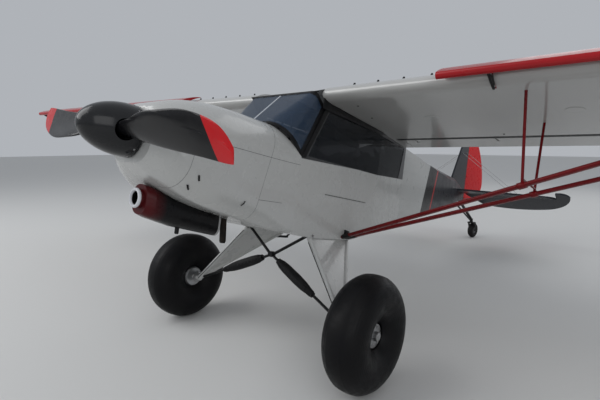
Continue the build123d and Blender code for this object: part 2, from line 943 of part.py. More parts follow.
# columns: distance out, share of chord, share of thickness
TIP_SECTIONS = (
    (bay_tip, 1, 1),
    (tip_x - 180, 0.96, 0.86),
    (tip_x - 50, 0.86, 0.6),
    (tip_x, 0.74, 0.3),
)
FLAP_HINGES = (560, 1300, 2050, 2800)
AILERON_HINGES = (3060, 3920, 4830)
surface_gap = 8


def hinge_point(x):
    """A point of the flap and aileron hinge axis."""
    return (x, hinge_y, hinge_z + lift(x))


rib = wing_outline()
with BuildPart() as wing:
    wing_solid(rib, root_x, bay_tip)
    wing_solid(bay_outline(), bay_root, bay_tip, mode=Mode.SUBTRACT)
    tip_faces = []
    for x, share, thick in TIP_SECTIONS:
        tip_rib = wing_outline(0, share, share * thick)
        tip_faces.append(tip_rib.face().moved(Location((x, 0, lift(x)))))
    loft(tip_faces, ruled=True)
    with BuildSketch() as fuselage_plan:
        outline(
            (0, -500),
            (half_width + 2, -500),
            (half_width + 2, taper_start),
            (rear_half_width + 2, cabin_rear),
            (0, cabin_rear),
        )
    extrude(fuselage_plan.sketch, amount=reach, mode=Mode.SUBTRACT)
    for x in FLAP_HINGES + AILERON_HINGES:
        point = hinge_point(x)
        bay_edge = (x, hinge_y - nose_radius - running - 20, under(hinge_y - 120) + lift(x) + 4)
        hinge_lug(point, along_wing, bay_edge, 12)
save_pair(wing, "wing")


def surface(start, end, hinges):
    """A flap or aileron between two distances out, notched for the wing's hinge lugs."""
    wing_solid(control_outline(), start + surface_gap, end - surface_gap)
    for x in hinges:
        hinge_notch(hinge_point(x), along_wing, nose_radius + 14)


with BuildPart() as flap:
    surface(bay_root, bay_split, FLAP_HINGES)
save_pair(flap, "flap")

with BuildPart() as aileron:
    surface(bay_split, bay_tip, AILERON_HINGES)
save_pair(aileron, "aileron")

# Leading-edge slats on brackets
slat_root = 1310
slat_tip = 5150
SLAT_BRACKETS = (1600, 2500, 3400, 4300, 5050)
grown_rib = wing_outline(seat)
with BuildSketch(side(0)) as plate:
    outline((-94, 1638), (-60, 1628), (66, 1598), (100, 1604), (60, 1650), (20, 1700), (-66, 1672))
slat_bracket = plate.sketch - wing_outline(0, 1.0005, 1.009)
with BuildPart() as slat:
    with BuildSketch(side(0)) as slat_rib:
        with BuildLine() as slat_skin:
            ThreePointArc((-98, 1629), (-124, 1642), (-122, 1668))
            ThreePointArc((-122, 1668), (-70, 1701), (108, 1765))
            Line((108, 1765), (108, 1762))
            ThreePointArc((108, 1762), (10, 1712), (-60, 1655))
            Line((-60, 1655), (-98, 1629))
        make_face(slat_skin.edges())
    wing_solid(slat_rib.sketch, slat_root, slat_tip)
    for x in SLAT_BRACKETS:
        wing_solid(slat_bracket, x, x + 6)
save_pair(slat, "slat")


def strut(start, end, width, thick, mode=Mode.ADD):
    """A streamlined strut between two points, its long axis aft."""
    path = Vector(*end) - Vector(*start)
    aft = Vector(0, 1, 0) - path.normalized() * path.normalized().Y
    with BuildSketch(Plane(origin=start, x_dir=aft, z_dir=path)) as section:
        Ellipse(width / 2, thick / 2)
    extrude(section.sketch, amount=path.length, mode=mode)


# Lift struts and the jury struts that steady them
strut_foot = (half_width + seat, 571, 572)
foot_spread = 37
strut_chord = 70
strut_thick = 32
jury_x = 1748
jury_radius = 9


def strut_line(x, spar_y, foot_y):
    """A point on a lift strut's axis at a distance out."""
    share = (x - strut_foot[0]) / (strut_x - strut_foot[0])
    top = under(spar_y) + lift(strut_x)
    return (x, foot_y + share * (spar_y - foot_y), strut_foot[2] + share * (top - strut_foot[2]))


# columns: name, spar it holds, foot on the longeron
LIFT_STRUTS = (
    ("front_strut", front_spar, strut_foot[1] - foot_spread),
    ("rear_strut", rear_spar, strut_foot[1] + foot_spread),
)
for name, spar_y, foot_y in LIFT_STRUTS:
    with BuildPart() as lift_strut:
        strut(
            strut_line(strut_foot[0] - 60, spar_y, foot_y),
            strut_line(strut_x + 80, spar_y, foot_y),
            strut_chord,
            strut_thick,
        )
        wing_solid(grown_rib, strut_x - 600, strut_x + 600, mode=Mode.SUBTRACT)
        with BuildSketch(side(strut_foot[0])) as cabin_face:
            Rectangle(2 * reach, 2 * reach)
        extrude(cabin_face.sketch, amount=-400, mode=Mode.SUBTRACT)
    keep = lift_strut.part.solids().sort_by(Axis.Z)[0]
    with BuildPart() as trimmed:
        add(keep)
    save_pair(trimmed, name)

with BuildPart() as jury:
    front_low = Vector(*strut_line(jury_x, front_spar, strut_foot[1] - foot_spread))
    rear_low = Vector(*strut_line(jury_x, rear_spar, strut_foot[1] + foot_spread))
    rise = Vector(0, 0, 40)
    front_high = Vector(jury_x, front_spar + 5, under(front_spar) + lift(jury_x) + 20)
    rear_high = Vector(jury_x - 12, rear_spar - 12, under(rear_spar) + lift(jury_x) + 20)
    bar(front_low, front_high, jury_radius)
    bar(rear_low, rear_high, jury_radius)
    share = rise.Z / (front_high.Z - front_low.Z)
    bar(
        front_low + (front_high - front_low) * share,
        rear_low + (rear_high - rear_low) * share,
        jury_radius - 2,
    )
    wing_solid(grown_rib, jury_x - 200, jury_x + 200, mode=Mode.SUBTRACT)
    for name, spar_y, foot_y in LIFT_STRUTS:
        strut(
            strut_line(jury_x - 200, spar_y, foot_y),
            strut_line(jury_x + 200, spar_y, foot_y),
            strut_chord + 2 * seat,
            strut_thick + 2 * seat,
            mode=Mode.SUBTRACT,
        )
    jury_frame = jury.part.solids().sort_by(SortBy.VOLUME)[-1]
with BuildPart() as jury_strut:
    add(jury_frame)
save_pair(jury_strut, "jury_strut")

# Wing tie-down eyes under the strut ends
eye_x = strut_x + 150
eye_radius = 12
with BuildPart() as tie_down:
    top = under(front_spar) + lift(eye_x) - seat - 0.7
    with BuildSketch(Plane(origin=(eye_x, front_spar, 0), x_dir=(0, 1, 0), z_dir=(1, 0, 0))) as eye:
        with Locations((0, top - 42)):
            Circle(24)
        with Locations((0, top - 20)):
            Rectangle(30, 40)
        with Locations((0, top - 42)):
            Circle(eye_radius, mode=Mode.SUBTRACT)
    extrude(eye.sketch, amount=5, both=True)
save_pair(tie_down, "tie_down")

# Fin with its stern post, and the hole for the elevators' torque tube
fin_base_front = stern_post - 600
torque_room = 6


def ridge(y):
    """Height of the rear fuselage's back at the fin."""
    share = (y - REAR_SECTIONS[1][0]) / (fuselage_end - REAR_SECTIONS[1][0])
    return REAR_SECTIONS[1][4] + share * (REAR_SECTIONS[2][4] - REAR_SECTIONS[1][4])


RUDDER_HINGES = (1290, 1640, 2180)
with BuildPart() as fin:
    with BuildSketch(side(-tail_thick / 2)):
        with BuildLine():
            Polyline(
                (fin_base_front, ridge(fin_base_front) + seat + 3),
                (fuselage_end + seat, ridge(fuselage_end) + seat),
                (fuselage_end + seat, fin_foot),
                (stern_post, fin_foot),
                (stern_post, fin_top),
            )
            ThreePointArc(
                (stern_post, fin_top), (stern_post - 115, fin_top - 20), (stern_post - 215, fin_top - 100)
            )
            Polyline(
                (stern_post - 215, fin_top - 100),
                (stern_post - 478, 1764),
                (fin_base_front, ridge(fin_base_front) + seat + 3),
            )
        make_face()
    extrude(amount=tail_thick)
    fillet(fin.edges().filter_by(Plane.YZ).sort_by(Axis.Y)[:4], 8)
    bar(
        (-50, elevator_hinge, stab_z),
        (50, elevator_hinge, stab_z),
        torque_radius + torque_room,
        mode=Mode.SUBTRACT,
    )
    for z in RUDDER_HINGES:
        hinge_lug((0, rudder_hinge, z), (0, 0, 1), (0, stern_post - 4, z), 10)
save(fin.part, "fin")

# Rudder, hung on the stern post and turned as it was left
rudder_foot = fin_foot - 6
rudder_top = fin_top - 7
rudder_plane = Plane(
    origin=(0, rudder_hinge, 0),
    x_dir=(sin(radians(rudder_rest)), cos(radians(rudder_rest)), 0),
    z_dir=(cos(radians(rudder_rest)), -sin(radians(rudder_rest)), 0),
)
with BuildPart() as rudder:
    with BuildSketch(rudder_plane.offset(-tail_thick / 2)):
        with BuildLine():
            Line((0, rudder_foot), (0, rudder_top))
            ThreePointArc((0, rudder_top), (180, rudder_top - 32), (337, 2190))
            ThreePointArc((337, 2190), (525, 1883), (598, 1590))
            ThreePointArc((598, 1590), (540, 1440), (340, 1345))
            ThreePointArc((340, 1345), (180, 1280), (90, rudder_foot))
            Line((90, rudder_foot), (0, rudder_foot))
        make_face()
    extrude(amount=tail_thick)
    bar((0, rudder_hinge, rudder_foot), (0, rudder_hinge, rudder_top), tail_thick / 2)
    for z in RUDDER_HINGES:
        hinge_notch((0, rudder_hinge, z), (0, 0, 1), lug_radius + lug_room + 6)
save(rudder.part, "rudder")

# Stabiliser halves
stab_root_front = fuselage_end - 410
stab_tip = 1330
stab_rear = elevator_hinge - tail_thick / 2 - running
ELEVATOR_HINGES = (300, 820, 1300)


def fuselage_side(y):
    """Half width of the rear fuselage near the tail."""
    share = (y - REAR_SECTIONS[1][0]) / (fuselage_end - REAR_SECTIONS[1][0])
    return REAR_SECTIONS[1][1] + share * (REAR_SECTIONS[2][1] - REAR_SECTIONS[1][1])


with BuildPart() as half_stabiliser:
    with BuildSketch(Plane.XY.offset(stab_z - tail_thick / 2)):
        with BuildLine():
            Line(
                (fuselage_side(stab_root_front) + seat, stab_root_front),
                (stab_tip - 150, stab_rear - 195),
            )
            ThreePointArc(
                (stab_tip - 150, stab_rear - 195), (stab_tip - 40, stab_rear - 130), (stab_tip, stab_rear)
            )
            Line((stab_tip, stab_rear), (fuselage_side(fuselage_end) + seat, stab_rear))
            Line(
                (fuselage_side(fuselage_end) + seat, stab_rear),
                (fuselage_side(fuselage_end) + seat, fuselage_end),
            )
            Line(
                (fuselage_side(fuselage_end) + seat, fuselage_end),
                (fuselage_side(stab_root_front) + seat, stab_root_front),
            )
        make_face()
    extrude(amount=tail_thick)
    for x in ELEVATOR_HINGES:
        hinge_lug((x, elevator_hinge, stab_z), (1, 0, 0), (x, stab_rear - 4, stab_z), 10)

with BuildPart() as stabiliser:
    add(half_stabiliser.part)
    mirror(half_stabiliser.part, about=Plane.YZ)
save(stabiliser.part, "stabiliser")

# Elevators: two halves on one torque tube, hanging on their lower stop
droop = radians(elevator_droop)
elevator_plane = Plane(
    origin=(0, elevator_hinge, stab_z),
    x_dir=(1, 0, 0),
    z_dir=(0, sin(droop), cos(droop)),
)
horn_root = stab_tip + 12
elevator_tip = 1515
horn_reach = 175
with BuildPart() as half_elevator:
    with BuildSketch(elevator_plane.offset(-tail_thick / 2)):
        with BuildLine():
            Line((58, 0), (58, 45))
            Line((58, 45), (270, 400))
            ThreePointArc((270, 400), (760, 455), (1180, 380))
            ThreePointArc((1180, 380), (1425, 200), (elevator_tip, -30))
            ThreePointArc((elevator_tip, -30), (1487, -132), (1400, -horn_reach))
            Line((1400, -horn_reach), (horn_root, -horn_reach + 10))
            Line((horn_root, -horn_reach + 10), (horn_root, 0))
            Line((horn_root, 0), (58, 0))
        make_face()
    extrude(amount=tail_thick)
    bar((0, elevator_hinge, stab_z), (horn_root, elevator_hinge, stab_z), torque_radius)
    for x in ELEVATOR_HINGES:
        hinge_notch((x, elevator_hinge, stab_z), (1, 0, 0), lug_radius + lug_room + 6)

with BuildPart() as elevators:
    add(half_elevator.part)
    mirror(half_elevator.part, about=Plane.YZ)
save(elevators.part, "elevators")

# Main gear legs: two faired tubes from the lower longeron to the axle, the space between filled
leg_front_top = (350, gear_front, belly_front)
leg_rear_top = (350, gear_rear - 20, belly_front)
leg_bottom = (leg_foot, 0, 0)
leg_tube = 20
web_thick = 14
leg_across = (Vector(*leg_front_top) - Vector(*leg_bottom)).cross(
    Vector(*leg_rear_top) - Vector(*leg_bottom)
)
with BuildPart() as gear_leg:
    leg_plane = Plane(
        origin=leg_bottom, x_dir=Vector(*leg_rear_top) - Vector(*leg_bottom), z_dir=leg_across
    )
    corner = leg_plane.to_local_coords(Vector(*leg_front_top))
    rear_corner = leg_plane.to_local_coords(Vector(*leg_rear_top))
    with BuildSketch(leg_plane.offset(-web_thick / 2)):
        outline((0, 0), (rear_corner.X, rear_corner.Y), (corner.X, corner.Y))
    extrude(amount=web_thick)
    bar(leg_bottom, leg_front_top, leg_tube)
    bar(leg_bottom, leg_rear_top, leg_tube)
    bar((leg_foot - 25, 0, 0), (axle_end, 0, 0), axle_radius)
    with BuildSketch(Plane.XY.offset(belly_front - seat)) as longeron:
        Rectangle(2 * reach, 2 * reach)
    extrude(longeron.sketch, amount=300, mode=Mode.SUBTRACT)
save_pair(gear_leg, "gear_leg")

# Cabane: two tubes meeting in a block under the belly, which carries both shock struts
cabane_radius = 12
apex_half = 24
with BuildPart() as gear_cabane:
    with BuildSketch(station(cabane_apex[1] + 22)):
        with Locations((0, cabane_apex[2])):
            RectangleRounded(2 * apex_half, 44, 8)
    extrude(amount=44)
    for x in (-1, 1):
        bar((x * (apex_half + seat), cabane_apex[1], 368), (x * 325, gear_front + 5, 560), cabane_radius)
    with BuildSketch(Plane.XY.offset(belly_front - 1.5)) as longeron:
        Rectangle(2 * reach, 2 * reach)
    extrude(longeron.sketch, amount=300, mode=Mode.SUBTRACT)
save(gear_cabane.part, "gear_cabane")

# Shock struts from the cabane to the axles
shock_in = (apex_half - 6, cabane_apex[1], 351)
shock_out = (leg_foot - 62.4, 4.5, 27.1)
# columns: share of the way out where a part starts and ends, and its radius
SHOCK_PARTS = (
    (0.0, 1.0, 11),
    (0.1, 0.16, 26),
    (0.16, 0.56, 34),
    (0.56, 0.66, 22),
)
with BuildPart() as shock_strut:
    for begin, finish, radius in SHOCK_PARTS:
        from_point = Vector(*shock_in) + (Vector(*shock_out) - Vector(*shock_in)) * begin
        to_point = Vector(*shock_in) + (Vector(*shock_out) - Vector(*shock_in)) * finish
        bar(from_point, to_point, radius)
    with BuildSketch(side(apex_half + seat)) as apex_face:
        Rectangle(2 * reach, 2 * reach)
    extrude(apex_face.sketch, amount=-400, mode=Mode.SUBTRACT)
save_pair(shock_strut, "shock_strut")

# Main wheels: alloy hubs in fat smooth bush tyres
hub_play = 0.05
axle_axis = Axis((0, 0, 0), (1, 0, 0))
with BuildPart() as main_hub:
    with BuildSketch(Plane.XY):
        with BuildLine():
            Polyline(
                (hub_inner, axle_radius + hub_play),
                (hub_inner, bead_radius - 10),
                (hub_inner + 12, bead_radius - 2),
                (hub_outer - 50, bead_radius - 2),
                (hub_outer - 38, bead_radius - 10),
                (hub_outer - 30, 70),
                (hub_outer - 30, 34),
                (hub_outer, 30),
                (hub_outer, 0),
                (axle_end + 2, 0),
                (axle_end + 2, axle_radius + hub_play),
                (hub_inner, axle_radius + hub_play),
            )
        make_face()
    revolve(axis=axle_axis)
save_pair(main_hub, "main_hub")

tyre_half = tyre_width / 2
bead_half = 72
with BuildPart() as main_tyre:
    with BuildSketch(Plane.XY):
        with BuildLine():
            Line((wheel_x - bead_half, bead_radius - 1.7), (wheel_x + bead_half, bead_radius - 1.7))
            ThreePointArc(
                (wheel_x + bead_half, bead_radius - 1.7),
                (wheel_x + tyre_half - 24, 155),
                (wheel_x + tyre_half, 235),
            )
            ThreePointArc(
                (wheel_x + tyre_half, 235),
                (wheel_x + tyre_half - 36, 343),
                (wheel_x + 50, tyre_radius - 5),
            )
            ThreePointArc(
                (wheel_x + 50, tyre_radius - 5),
                (wheel_x, tyre_radius),
                (wheel_x - 50, tyre_radius - 5),
            )
            ThreePointArc(
                (wheel_x - 50, tyre_radius - 5),
                (wheel_x - tyre_half + 36, 343),
                (wheel_x - tyre_half, 235),
            )
            ThreePointArc(
                (wheel_x - tyre_half, 235),
                (wheel_x - tyre_half + 24, 155),
                (wheel_x - bead_half, bead_radius - 1.7),
            )
        make_face()
    revolve(axis=axle_axis)
save_pair(main_tyre, "main_tyre")

# Tail wheel: an arm and a leaf spring carry a steered fork
up_aft = -sin(radians(ground_angle))
up_z = cos(radians(ground_angle))
steer_foot = (
    0,
    tail_wheel_y - trail * cos(radians(ground_angle)),
    tail_wheel_z - trail * sin(radians(ground_angle)),
)


def up_kingpin(height):
    """A point on the kingpin's axis, vertical on the ground, above the wheel's centre."""
    return (0, steer_foot[1] + height * up_aft, steer_foot[2] + height * up_z)


kingpin = Axis(steer_foot, (0, up_aft, up_z))
fork_top = 150
collar_low = fork_top + 1
with BuildPart() as tail_spring:
    head = up_kingpin(collar_low)
    head_plane = Plane(origin=head, x_dir=(1, 0, 0), z_dir=(0, up_aft, up_z))
    with BuildSketch(head_plane):
        Circle(26)
    extrude(amount=60)
    spring_root = (0, fuselage_end - 30, 1236)
    leaf_top = Vector(*up_kingpin(collar_low + 44))
    path = leaf_top - Vector(*spring_root)
    with BuildSketch(Plane(origin=spring_root, x_dir=(1, 0, 0), z_dir=path)) as leaf:
        Rectangle(40, 22)
    extrude(leaf.sketch, amount=path.length - 4)
    arm_root = (0, fuselage_end - 250, 1190)
    arm_end = Vector(*up_kingpin(collar_low + 14))
    bar(arm_root, arm_end, 13)
    with BuildSketch(side(-400)) as fuselage_under:
        outline(
            (3000, belly(3000) - 3),
            (REAR_SECTIONS[1][0], REAR_SECTIONS[1][2] - seat),
            (fuselage_end, REAR_SECTIONS[2][2] - seat),
            (fuselage_end + seat, fin_foot - seat),
            (stern_post + 20, fin_foot - seat),
            (stern_post + 20, 1900),
            (3000, 1900),
        )
    extrude(fuselage_under.sketch, amount=800, mode=Mode.SUBTRACT)
    bar(up_kingpin(collar_low - 10), up_kingpin(collar_low + 40), 9.3, mode=Mode.SUBTRACT)
save(tail_spring.part, "tail_spring")

fork_half = tail_tyre_width / 2 + fork_gap
with BuildPart() as tail_fork:
    crown_plane = Plane(origin=up_kingpin(fork_top - 16), x_dir=(1, 0, 0), z_dir=(0, up_aft, up_z))
    with BuildSketch(crown_plane):
        with Locations((0, 12)):
            RectangleRounded(2 * (fork_half + 8), 84, 16)
    extrude(amount=16)
    bar(up_kingpin(fork_top - 4), up_kingpin(collar_low + 36), 9)
    for x in (-fork_half - 8, fork_half):
        with BuildSketch(side(x)) as blade:
            outline(
                up_kingpin(fork_top - 6)[1:],
                (up_kingpin(fork_top - 6)[1] + 50, up_kingpin(fork_top - 6)[2] + 8),
                (tail_wheel_y + 24, tail_wheel_z + 6),
                (tail_wheel_y, tail_wheel_z - 24),
                (tail_wheel_y - 24, tail_wheel_z - 6),
            )
        extrude(blade.sketch, amount=8)
    bar(
        (-fork_half - 4, tail_wheel_y, tail_wheel_z),
        (fork_half + 4, tail_wheel_y, tail_wheel_z),
        8,
    )
save(tail_fork.part.rotate(kingpin, -rudder_rest), "tail_fork")

with BuildPart() as tail_wheel:
    with BuildSketch(Plane(origin=(0, tail_wheel_y, tail_wheel_z), x_dir=(1, 0, 0), z_dir=(0, 0, 1))):
        with BuildLine():
            half = tail_tyre_width / 2
            Polyline((half - 14, 60), (half - 14, 8.05), (-half + 14, 8.05), (-half + 14, 60))
            ThreePointArc((-half + 14, 60), (-half, 90), (-half + 12, 116))
            ThreePointArc((-half + 12, 116), (0, tail_tyre_radius), (half - 12, 116))
            ThreePointArc((half - 12, 116), (half, 90), (half - 14, 60))
        make_face()
    revolve(axis=Axis((0, tail_wheel_y, tail_wheel_z), (1, 0, 0)))
save(tail_wheel.part.rotate(kingpin, -rudder_rest), "tail_wheel")
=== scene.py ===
# A two-seat high-wing taildragger on bush tyres, parked, as it stands in its photograph.
from math import cos, pi, radians, sin

import bpy
from mathutils import Matrix, Vector


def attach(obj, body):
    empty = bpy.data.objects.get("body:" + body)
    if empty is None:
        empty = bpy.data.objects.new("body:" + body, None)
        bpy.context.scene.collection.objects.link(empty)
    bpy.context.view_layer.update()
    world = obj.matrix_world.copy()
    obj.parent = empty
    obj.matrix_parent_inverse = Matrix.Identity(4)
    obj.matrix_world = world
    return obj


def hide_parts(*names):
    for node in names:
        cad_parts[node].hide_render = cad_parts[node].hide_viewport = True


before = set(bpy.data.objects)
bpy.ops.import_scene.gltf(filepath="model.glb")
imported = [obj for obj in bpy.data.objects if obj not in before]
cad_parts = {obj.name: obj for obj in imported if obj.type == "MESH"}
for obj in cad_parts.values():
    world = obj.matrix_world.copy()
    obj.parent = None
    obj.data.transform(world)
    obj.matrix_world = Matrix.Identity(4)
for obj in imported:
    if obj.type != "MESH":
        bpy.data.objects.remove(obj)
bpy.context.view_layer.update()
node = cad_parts
bpy.ops.object.select_all(action="DESELECT")
bpy.context.tool_settings.mesh_select_mode = (False, False, True)

# Cowling: two pressed aluminium halves under silver-grey gloss paint. They meet in a line level with the
# propeller shaft, carry a nose bowl riveted to their front, and end in a slanting seam at the firewall.
# Patterns are laid out in level flight, so their coordinates are turned up from the ground.
GROUND_ANGLE = radians(11.5)
MAIN_AXLE = Vector((0, -2.020, 0.3935))
LEVEL_TURN = Matrix.Rotation(-GROUND_ANGLE, 3, "X")
SILVER = (0.47, 0.475, 0.465, 1)
SEAM_DARK = (0.05, 0.05, 0.052, 1)
THRUST_HEIGHT = 1.085
SIDES = ((1, "left"), (-1, "right"))


def level(x, aft, up):
    """A place given in level flight, from the middle of the main axle, as it stands parked."""
    return LEVEL_TURN @ Vector((x, aft, up)) + MAIN_AXLE


def finish(name, colour, roughness, metallic=0.0, coat=0.0, specular=0.5):
    """A plain material."""
    material = bpy.data.materials.new(name)
    material.use_nodes = True
    shader = material.node_tree.nodes["Principled BSDF"]
    shader.inputs["Base Color"].default_value = colour
    shader.inputs["Roughness"].default_value = roughness
    shader.inputs["Metallic"].default_value = metallic
    shader.inputs["Specular IOR Level"].default_value = specular
    shader.inputs["Coat Weight"].default_value = coat
    shader.inputs["Coat Roughness"].default_value = 0.06
    return material


def level_place(material):
    """The socket that gives a point's place in level flight, in metres, made once for a material."""
    nodes = material.node_tree.nodes
    turn = nodes.get("level_flight")
    if turn is None:
        place = nodes.new("ShaderNodeTexCoord")
        turn = nodes.new("ShaderNodeMapping")
        turn.name = "level_flight"
        turn.inputs["Rotation"].default_value = (GROUND_ANGLE, 0, 0)
        turn.inputs["Location"].default_value = LEVEL_TURN.inverted() @ -MAIN_AXLE
        material.node_tree.links.new(place.outputs["Object"], turn.inputs["Vector"])
    return turn.outputs["Vector"]


def figure(material, operation, first, second=0.0):
    """The result of one sum on sockets or numbers."""
    tree = material.node_tree
    sum_node = tree.nodes.new("ShaderNodeMath")
    sum_node.operation = operation
    for value, socket in zip((first, second), sum_node.inputs):
        if isinstance(value, (int, float)):
            socket.default_value = value
        else:
            tree.links.new(value, socket)
    return sum_node.outputs["Value"]


def along(material, direction, vector=None):
    """How far a point, or another vector if one is given, reaches along a direction."""
    tree = material.node_tree
    product = tree.nodes.new("ShaderNodeVectorMath")
    product.operation = "DOT_PRODUCT"
    product.inputs[1].default_value = direction
    tree.links.new(vector or level_place(material), product.inputs[0])
    return product.outputs["Value"]


def beyond(material, direction, distance):
    """A mask: 1 where a point lies further along a direction than a distance."""
    return figure(material, "GREATER_THAN", along(material, direction), distance)


def seam_line(material, direction, distance, half=0.0016):
    """A mask: 1 on a thin line where the surface crosses a plane."""
    off = figure(material, "SUBTRACT", along(material, direction), distance)
    return figure(material, "LESS_THAN", figure(material, "ABSOLUTE", off), half)


def both(material, *masks):
    """A mask: 1 where all the masks are."""
    whole = masks[0]
    for mask in masks[1:]:
        whole = figure(material, "MULTIPLY", whole, mask)
    return whole


def paint_over(material, colour, mask):
    """Covers the base colour with another where the mask is 1."""
    tree = material.node_tree
    base = tree.nodes["Principled BSDF"].inputs["Base Color"]
    mix = tree.nodes.new("ShaderNodeMix")
    mix.data_type = "RGBA"
    mix.inputs["A"].default_value = base.default_value
    if base.is_linked:
        tree.links.new(base.links[0].from_socket, mix.inputs["A"])
    mix.inputs["B"].default_value = colour
    tree.links.new(mask, mix.inputs["Factor"])
    tree.links.new(mix.outputs["Result"], base)


def cloud(material, scale, detail=4.0):
    """Soft noise over the surface, from 0 to 1."""
    tree = material.node_tree
    noise = tree.nodes.new("ShaderNodeTexNoise")
    noise.inputs["Scale"].default_value = scale
    noise.inputs["Detail"].default_value = detail
    tree.links.new(level_place(material), noise.inputs["Vector"])
    return noise.outputs["Fac"]


def between(material, value, low, high, from_low=0.3, from_high=0.7):
    """Stretches a value onto a range."""
    tree = material.node_tree
    spread = tree.nodes.new("ShaderNodeMapRange")
    spread.inputs["From Min"].default_value = from_low
    spread.inputs["From Max"].default_value = from_high
    spread.inputs["To Min"].default_value = low
    spread.inputs["To Max"].default_value = high
    tree.links.new(value, spread.inputs["Value"])
    return spread.outputs["Result"]


def relief(material, height, depth):
    """Raises the surface by a height from 0 to 1 times a depth, over what relief it already has."""
    tree = material.node_tree
    normal = tree.nodes["Principled BSDF"].inputs["Normal"]
    bump = tree.nodes.new("ShaderNodeBump")
    bump.inputs["Strength"].default_value = 0.6
    bump.inputs["Distance"].default_value = depth
    if normal.is_linked:
        tree.links.new(normal.links[0].from_socket, bump.inputs["Normal"])
    tree.links.new(height, bump.inputs["Height"])
    tree.links.new(bump.outputs["Normal"], normal)


def weather(material, dust, share, rough_low, rough_high, scale=2.3):
    """Thin dust in soft patches, and gloss that differs from place to place."""
    tree = material.node_tree
    patches = cloud(material, scale)
    paint_over(material, dust, between(material, patches, 0.0, share))
    rough = between(material, cloud(material, scale * 4), rough_low, rough_high)
    tree.links.new(rough, tree.nodes["Principled BSDF"].inputs["Roughness"])


def dress(names, material):
    """Gives CAD nodes one material."""
    for name in names:
        for place in node[name].material_slots:
            place.material = material


DUST = (0.36, 0.345, 0.31, 1)
bowl_seam = (0, 0.985, -0.172)
firewall_seam = Vector((0, 0.9706, -0.2408))
cowl_paint = finish("cowling_gloss_paint", SILVER, 0.26, coat=0.5)
weather(cowl_paint, DUST, 0.16, 0.20, 0.32)
relief(cowl_paint, cloud(cowl_paint, 5, 2), 0.006)
split_line = seam_line(cowl_paint, (0, 0, 1), THRUST_HEIGHT)
paint_over(cowl_paint, SEAM_DARK, split_line)
bowl_line = both(
    cowl_paint,
    seam_line(cowl_paint, bowl_seam, -1.243, 0.0014),
    beyond(cowl_paint, (0, 0, -1), -THRUST_HEIGHT),
)
paint_over(cowl_paint, (0.16, 0.16, 0.16, 1), bowl_line)
dress(("cowl_upper", "cowl_lower"), cowl_paint)


def pick_faces(piece, wanted):
    """Selects the faces that pass a test, and opens the mesh for editing."""
    if piece.mode == "EDIT":
        bpy.ops.object.mode_set(mode="OBJECT")
    for group in (piece.data.vertices, piece.data.edges):
        for part in group:
            part.select = False
    for face in piece.data.polygons:
        face.select = wanted(face)
    bpy.ops.object.mode_set(mode="EDIT")


def at_top(face):
    """True of a face at a primitive's upper end."""
    return face.normal.z > 0.9


def settle(name, material, body="airframe", angle=35):
    """Ends a piece: its place goes into its mesh, and it is named, painted and fixed to its body."""
    piece = bpy.context.object
    if piece.mode == "EDIT":
        bpy.ops.object.mode_set(mode="OBJECT")
    bpy.ops.object.transform_apply(location=True, rotation=True, scale=True)
    piece.name = name
    piece.data.name = name
    piece.data.materials.clear()
    piece.data.materials.append(material)
    for face in piece.data.polygons:
        face.material_index = 0
    bpy.ops.object.shade_smooth_by_angle(angle=radians(angle))
    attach(piece, body)


def round_head(radius, height, sunk=0.35, sides=14):
    """One round head at the origin, facing up: a bevelled disc with a sunk middle."""
    bpy.ops.object.select_all(action="DESELECT")
    bpy.ops.mesh.primitive_cylinder_add(
        vertices=sides, radius=radius, depth=height, location=(0, 0, height / 2)
    )
    head = bpy.context.object
    bpy.ops.object.transform_apply(location=True)
    pick_faces(head, at_top)
    bpy.ops.mesh.inset(thickness=radius * 0.22, depth=height * 0.25)
    bpy.ops.mesh.inset(thickness=radius * 0.3, depth=-height * sunk)
    bpy.ops.object.mode_set(mode="OBJECT")
    return head


def set_out(name, model, seats, material, body="airframe"):
    """Copies one fitting to each seat, a place and the way it faces, and joins the copies."""
    bpy.ops.object.select_all(action="DESELECT")
    for place, outward in seats:
        copy = model.copy()
        copy.data = model.data.copy()
        bpy.context.collection.objects.link(copy)
        turn = outward.to_track_quat("Z", "Y").to_matrix().to_4x4()
        copy.matrix_world = Matrix.Translation(place) @ turn @ model.matrix_world
        copy.select_set(True)
        bpy.context.view_layer.objects.active = copy
    bpy.data.objects.remove(model)
    bpy.ops.object.join()
    settle(name, material, body)


def on_skin(source, start, toward):
    """The place on a node's skin that a line from a start meets, and the way the skin faces there."""
    start, toward = level(*start), (LEVEL_TURN @ Vector(toward)).normalized()
    hit, place, outward, _ = node[source].ray_cast(start, toward)
    if not hit:
        raise ValueError(f"no skin of {source} there")
    return place, outward


plated_steel = finish("plated_steel", (0.42, 0.42, 0.43, 1), 0.35, metallic=1.0)
weather(plated_steel, (0.22, 0.21, 0.20, 1), 0.5, 0.26, 0.5, 30)
OUTSIDE = 1.2  # a line towards the skin starts this far out, clear of it
cowl_fasteners = []
for step in range(6):  # along the line between the halves
    aft = -1.12 + 0.105 * step
    for hand in (-1, 1):
        start = (hand * OUTSIDE, aft, THRUST_HEIGHT + 0.022)
        cowl_fasteners.append(on_skin("cowl_upper", start, (-hand, 0, 0)))
for step in range(7):  # over the top, along the firewall
    lean = radians(-66 + 22 * step)
    start = (OUTSIDE * sin(lean), -0.475, 0.96 + OUTSIDE * cos(lean))
    cowl_fasteners.append(on_skin("cowl_upper", start, (-sin(lean), 0, -cos(lean))))
for up in (0.80, 0.93, 1.04):  # down each side of the lower half, at its rear edge
    for hand in (-1, 1):
        aft = -0.56 + 0.245 * (0.80 - up)
        cowl_fasteners.append(on_skin("cowl_lower", (hand * OUTSIDE, aft, up), (-hand, 0, 0)))
stud = round_head(0.0062, 0.0018)
set_out("cowl_quarter_turn_studs", stud, cowl_fasteners, cowl_paint)

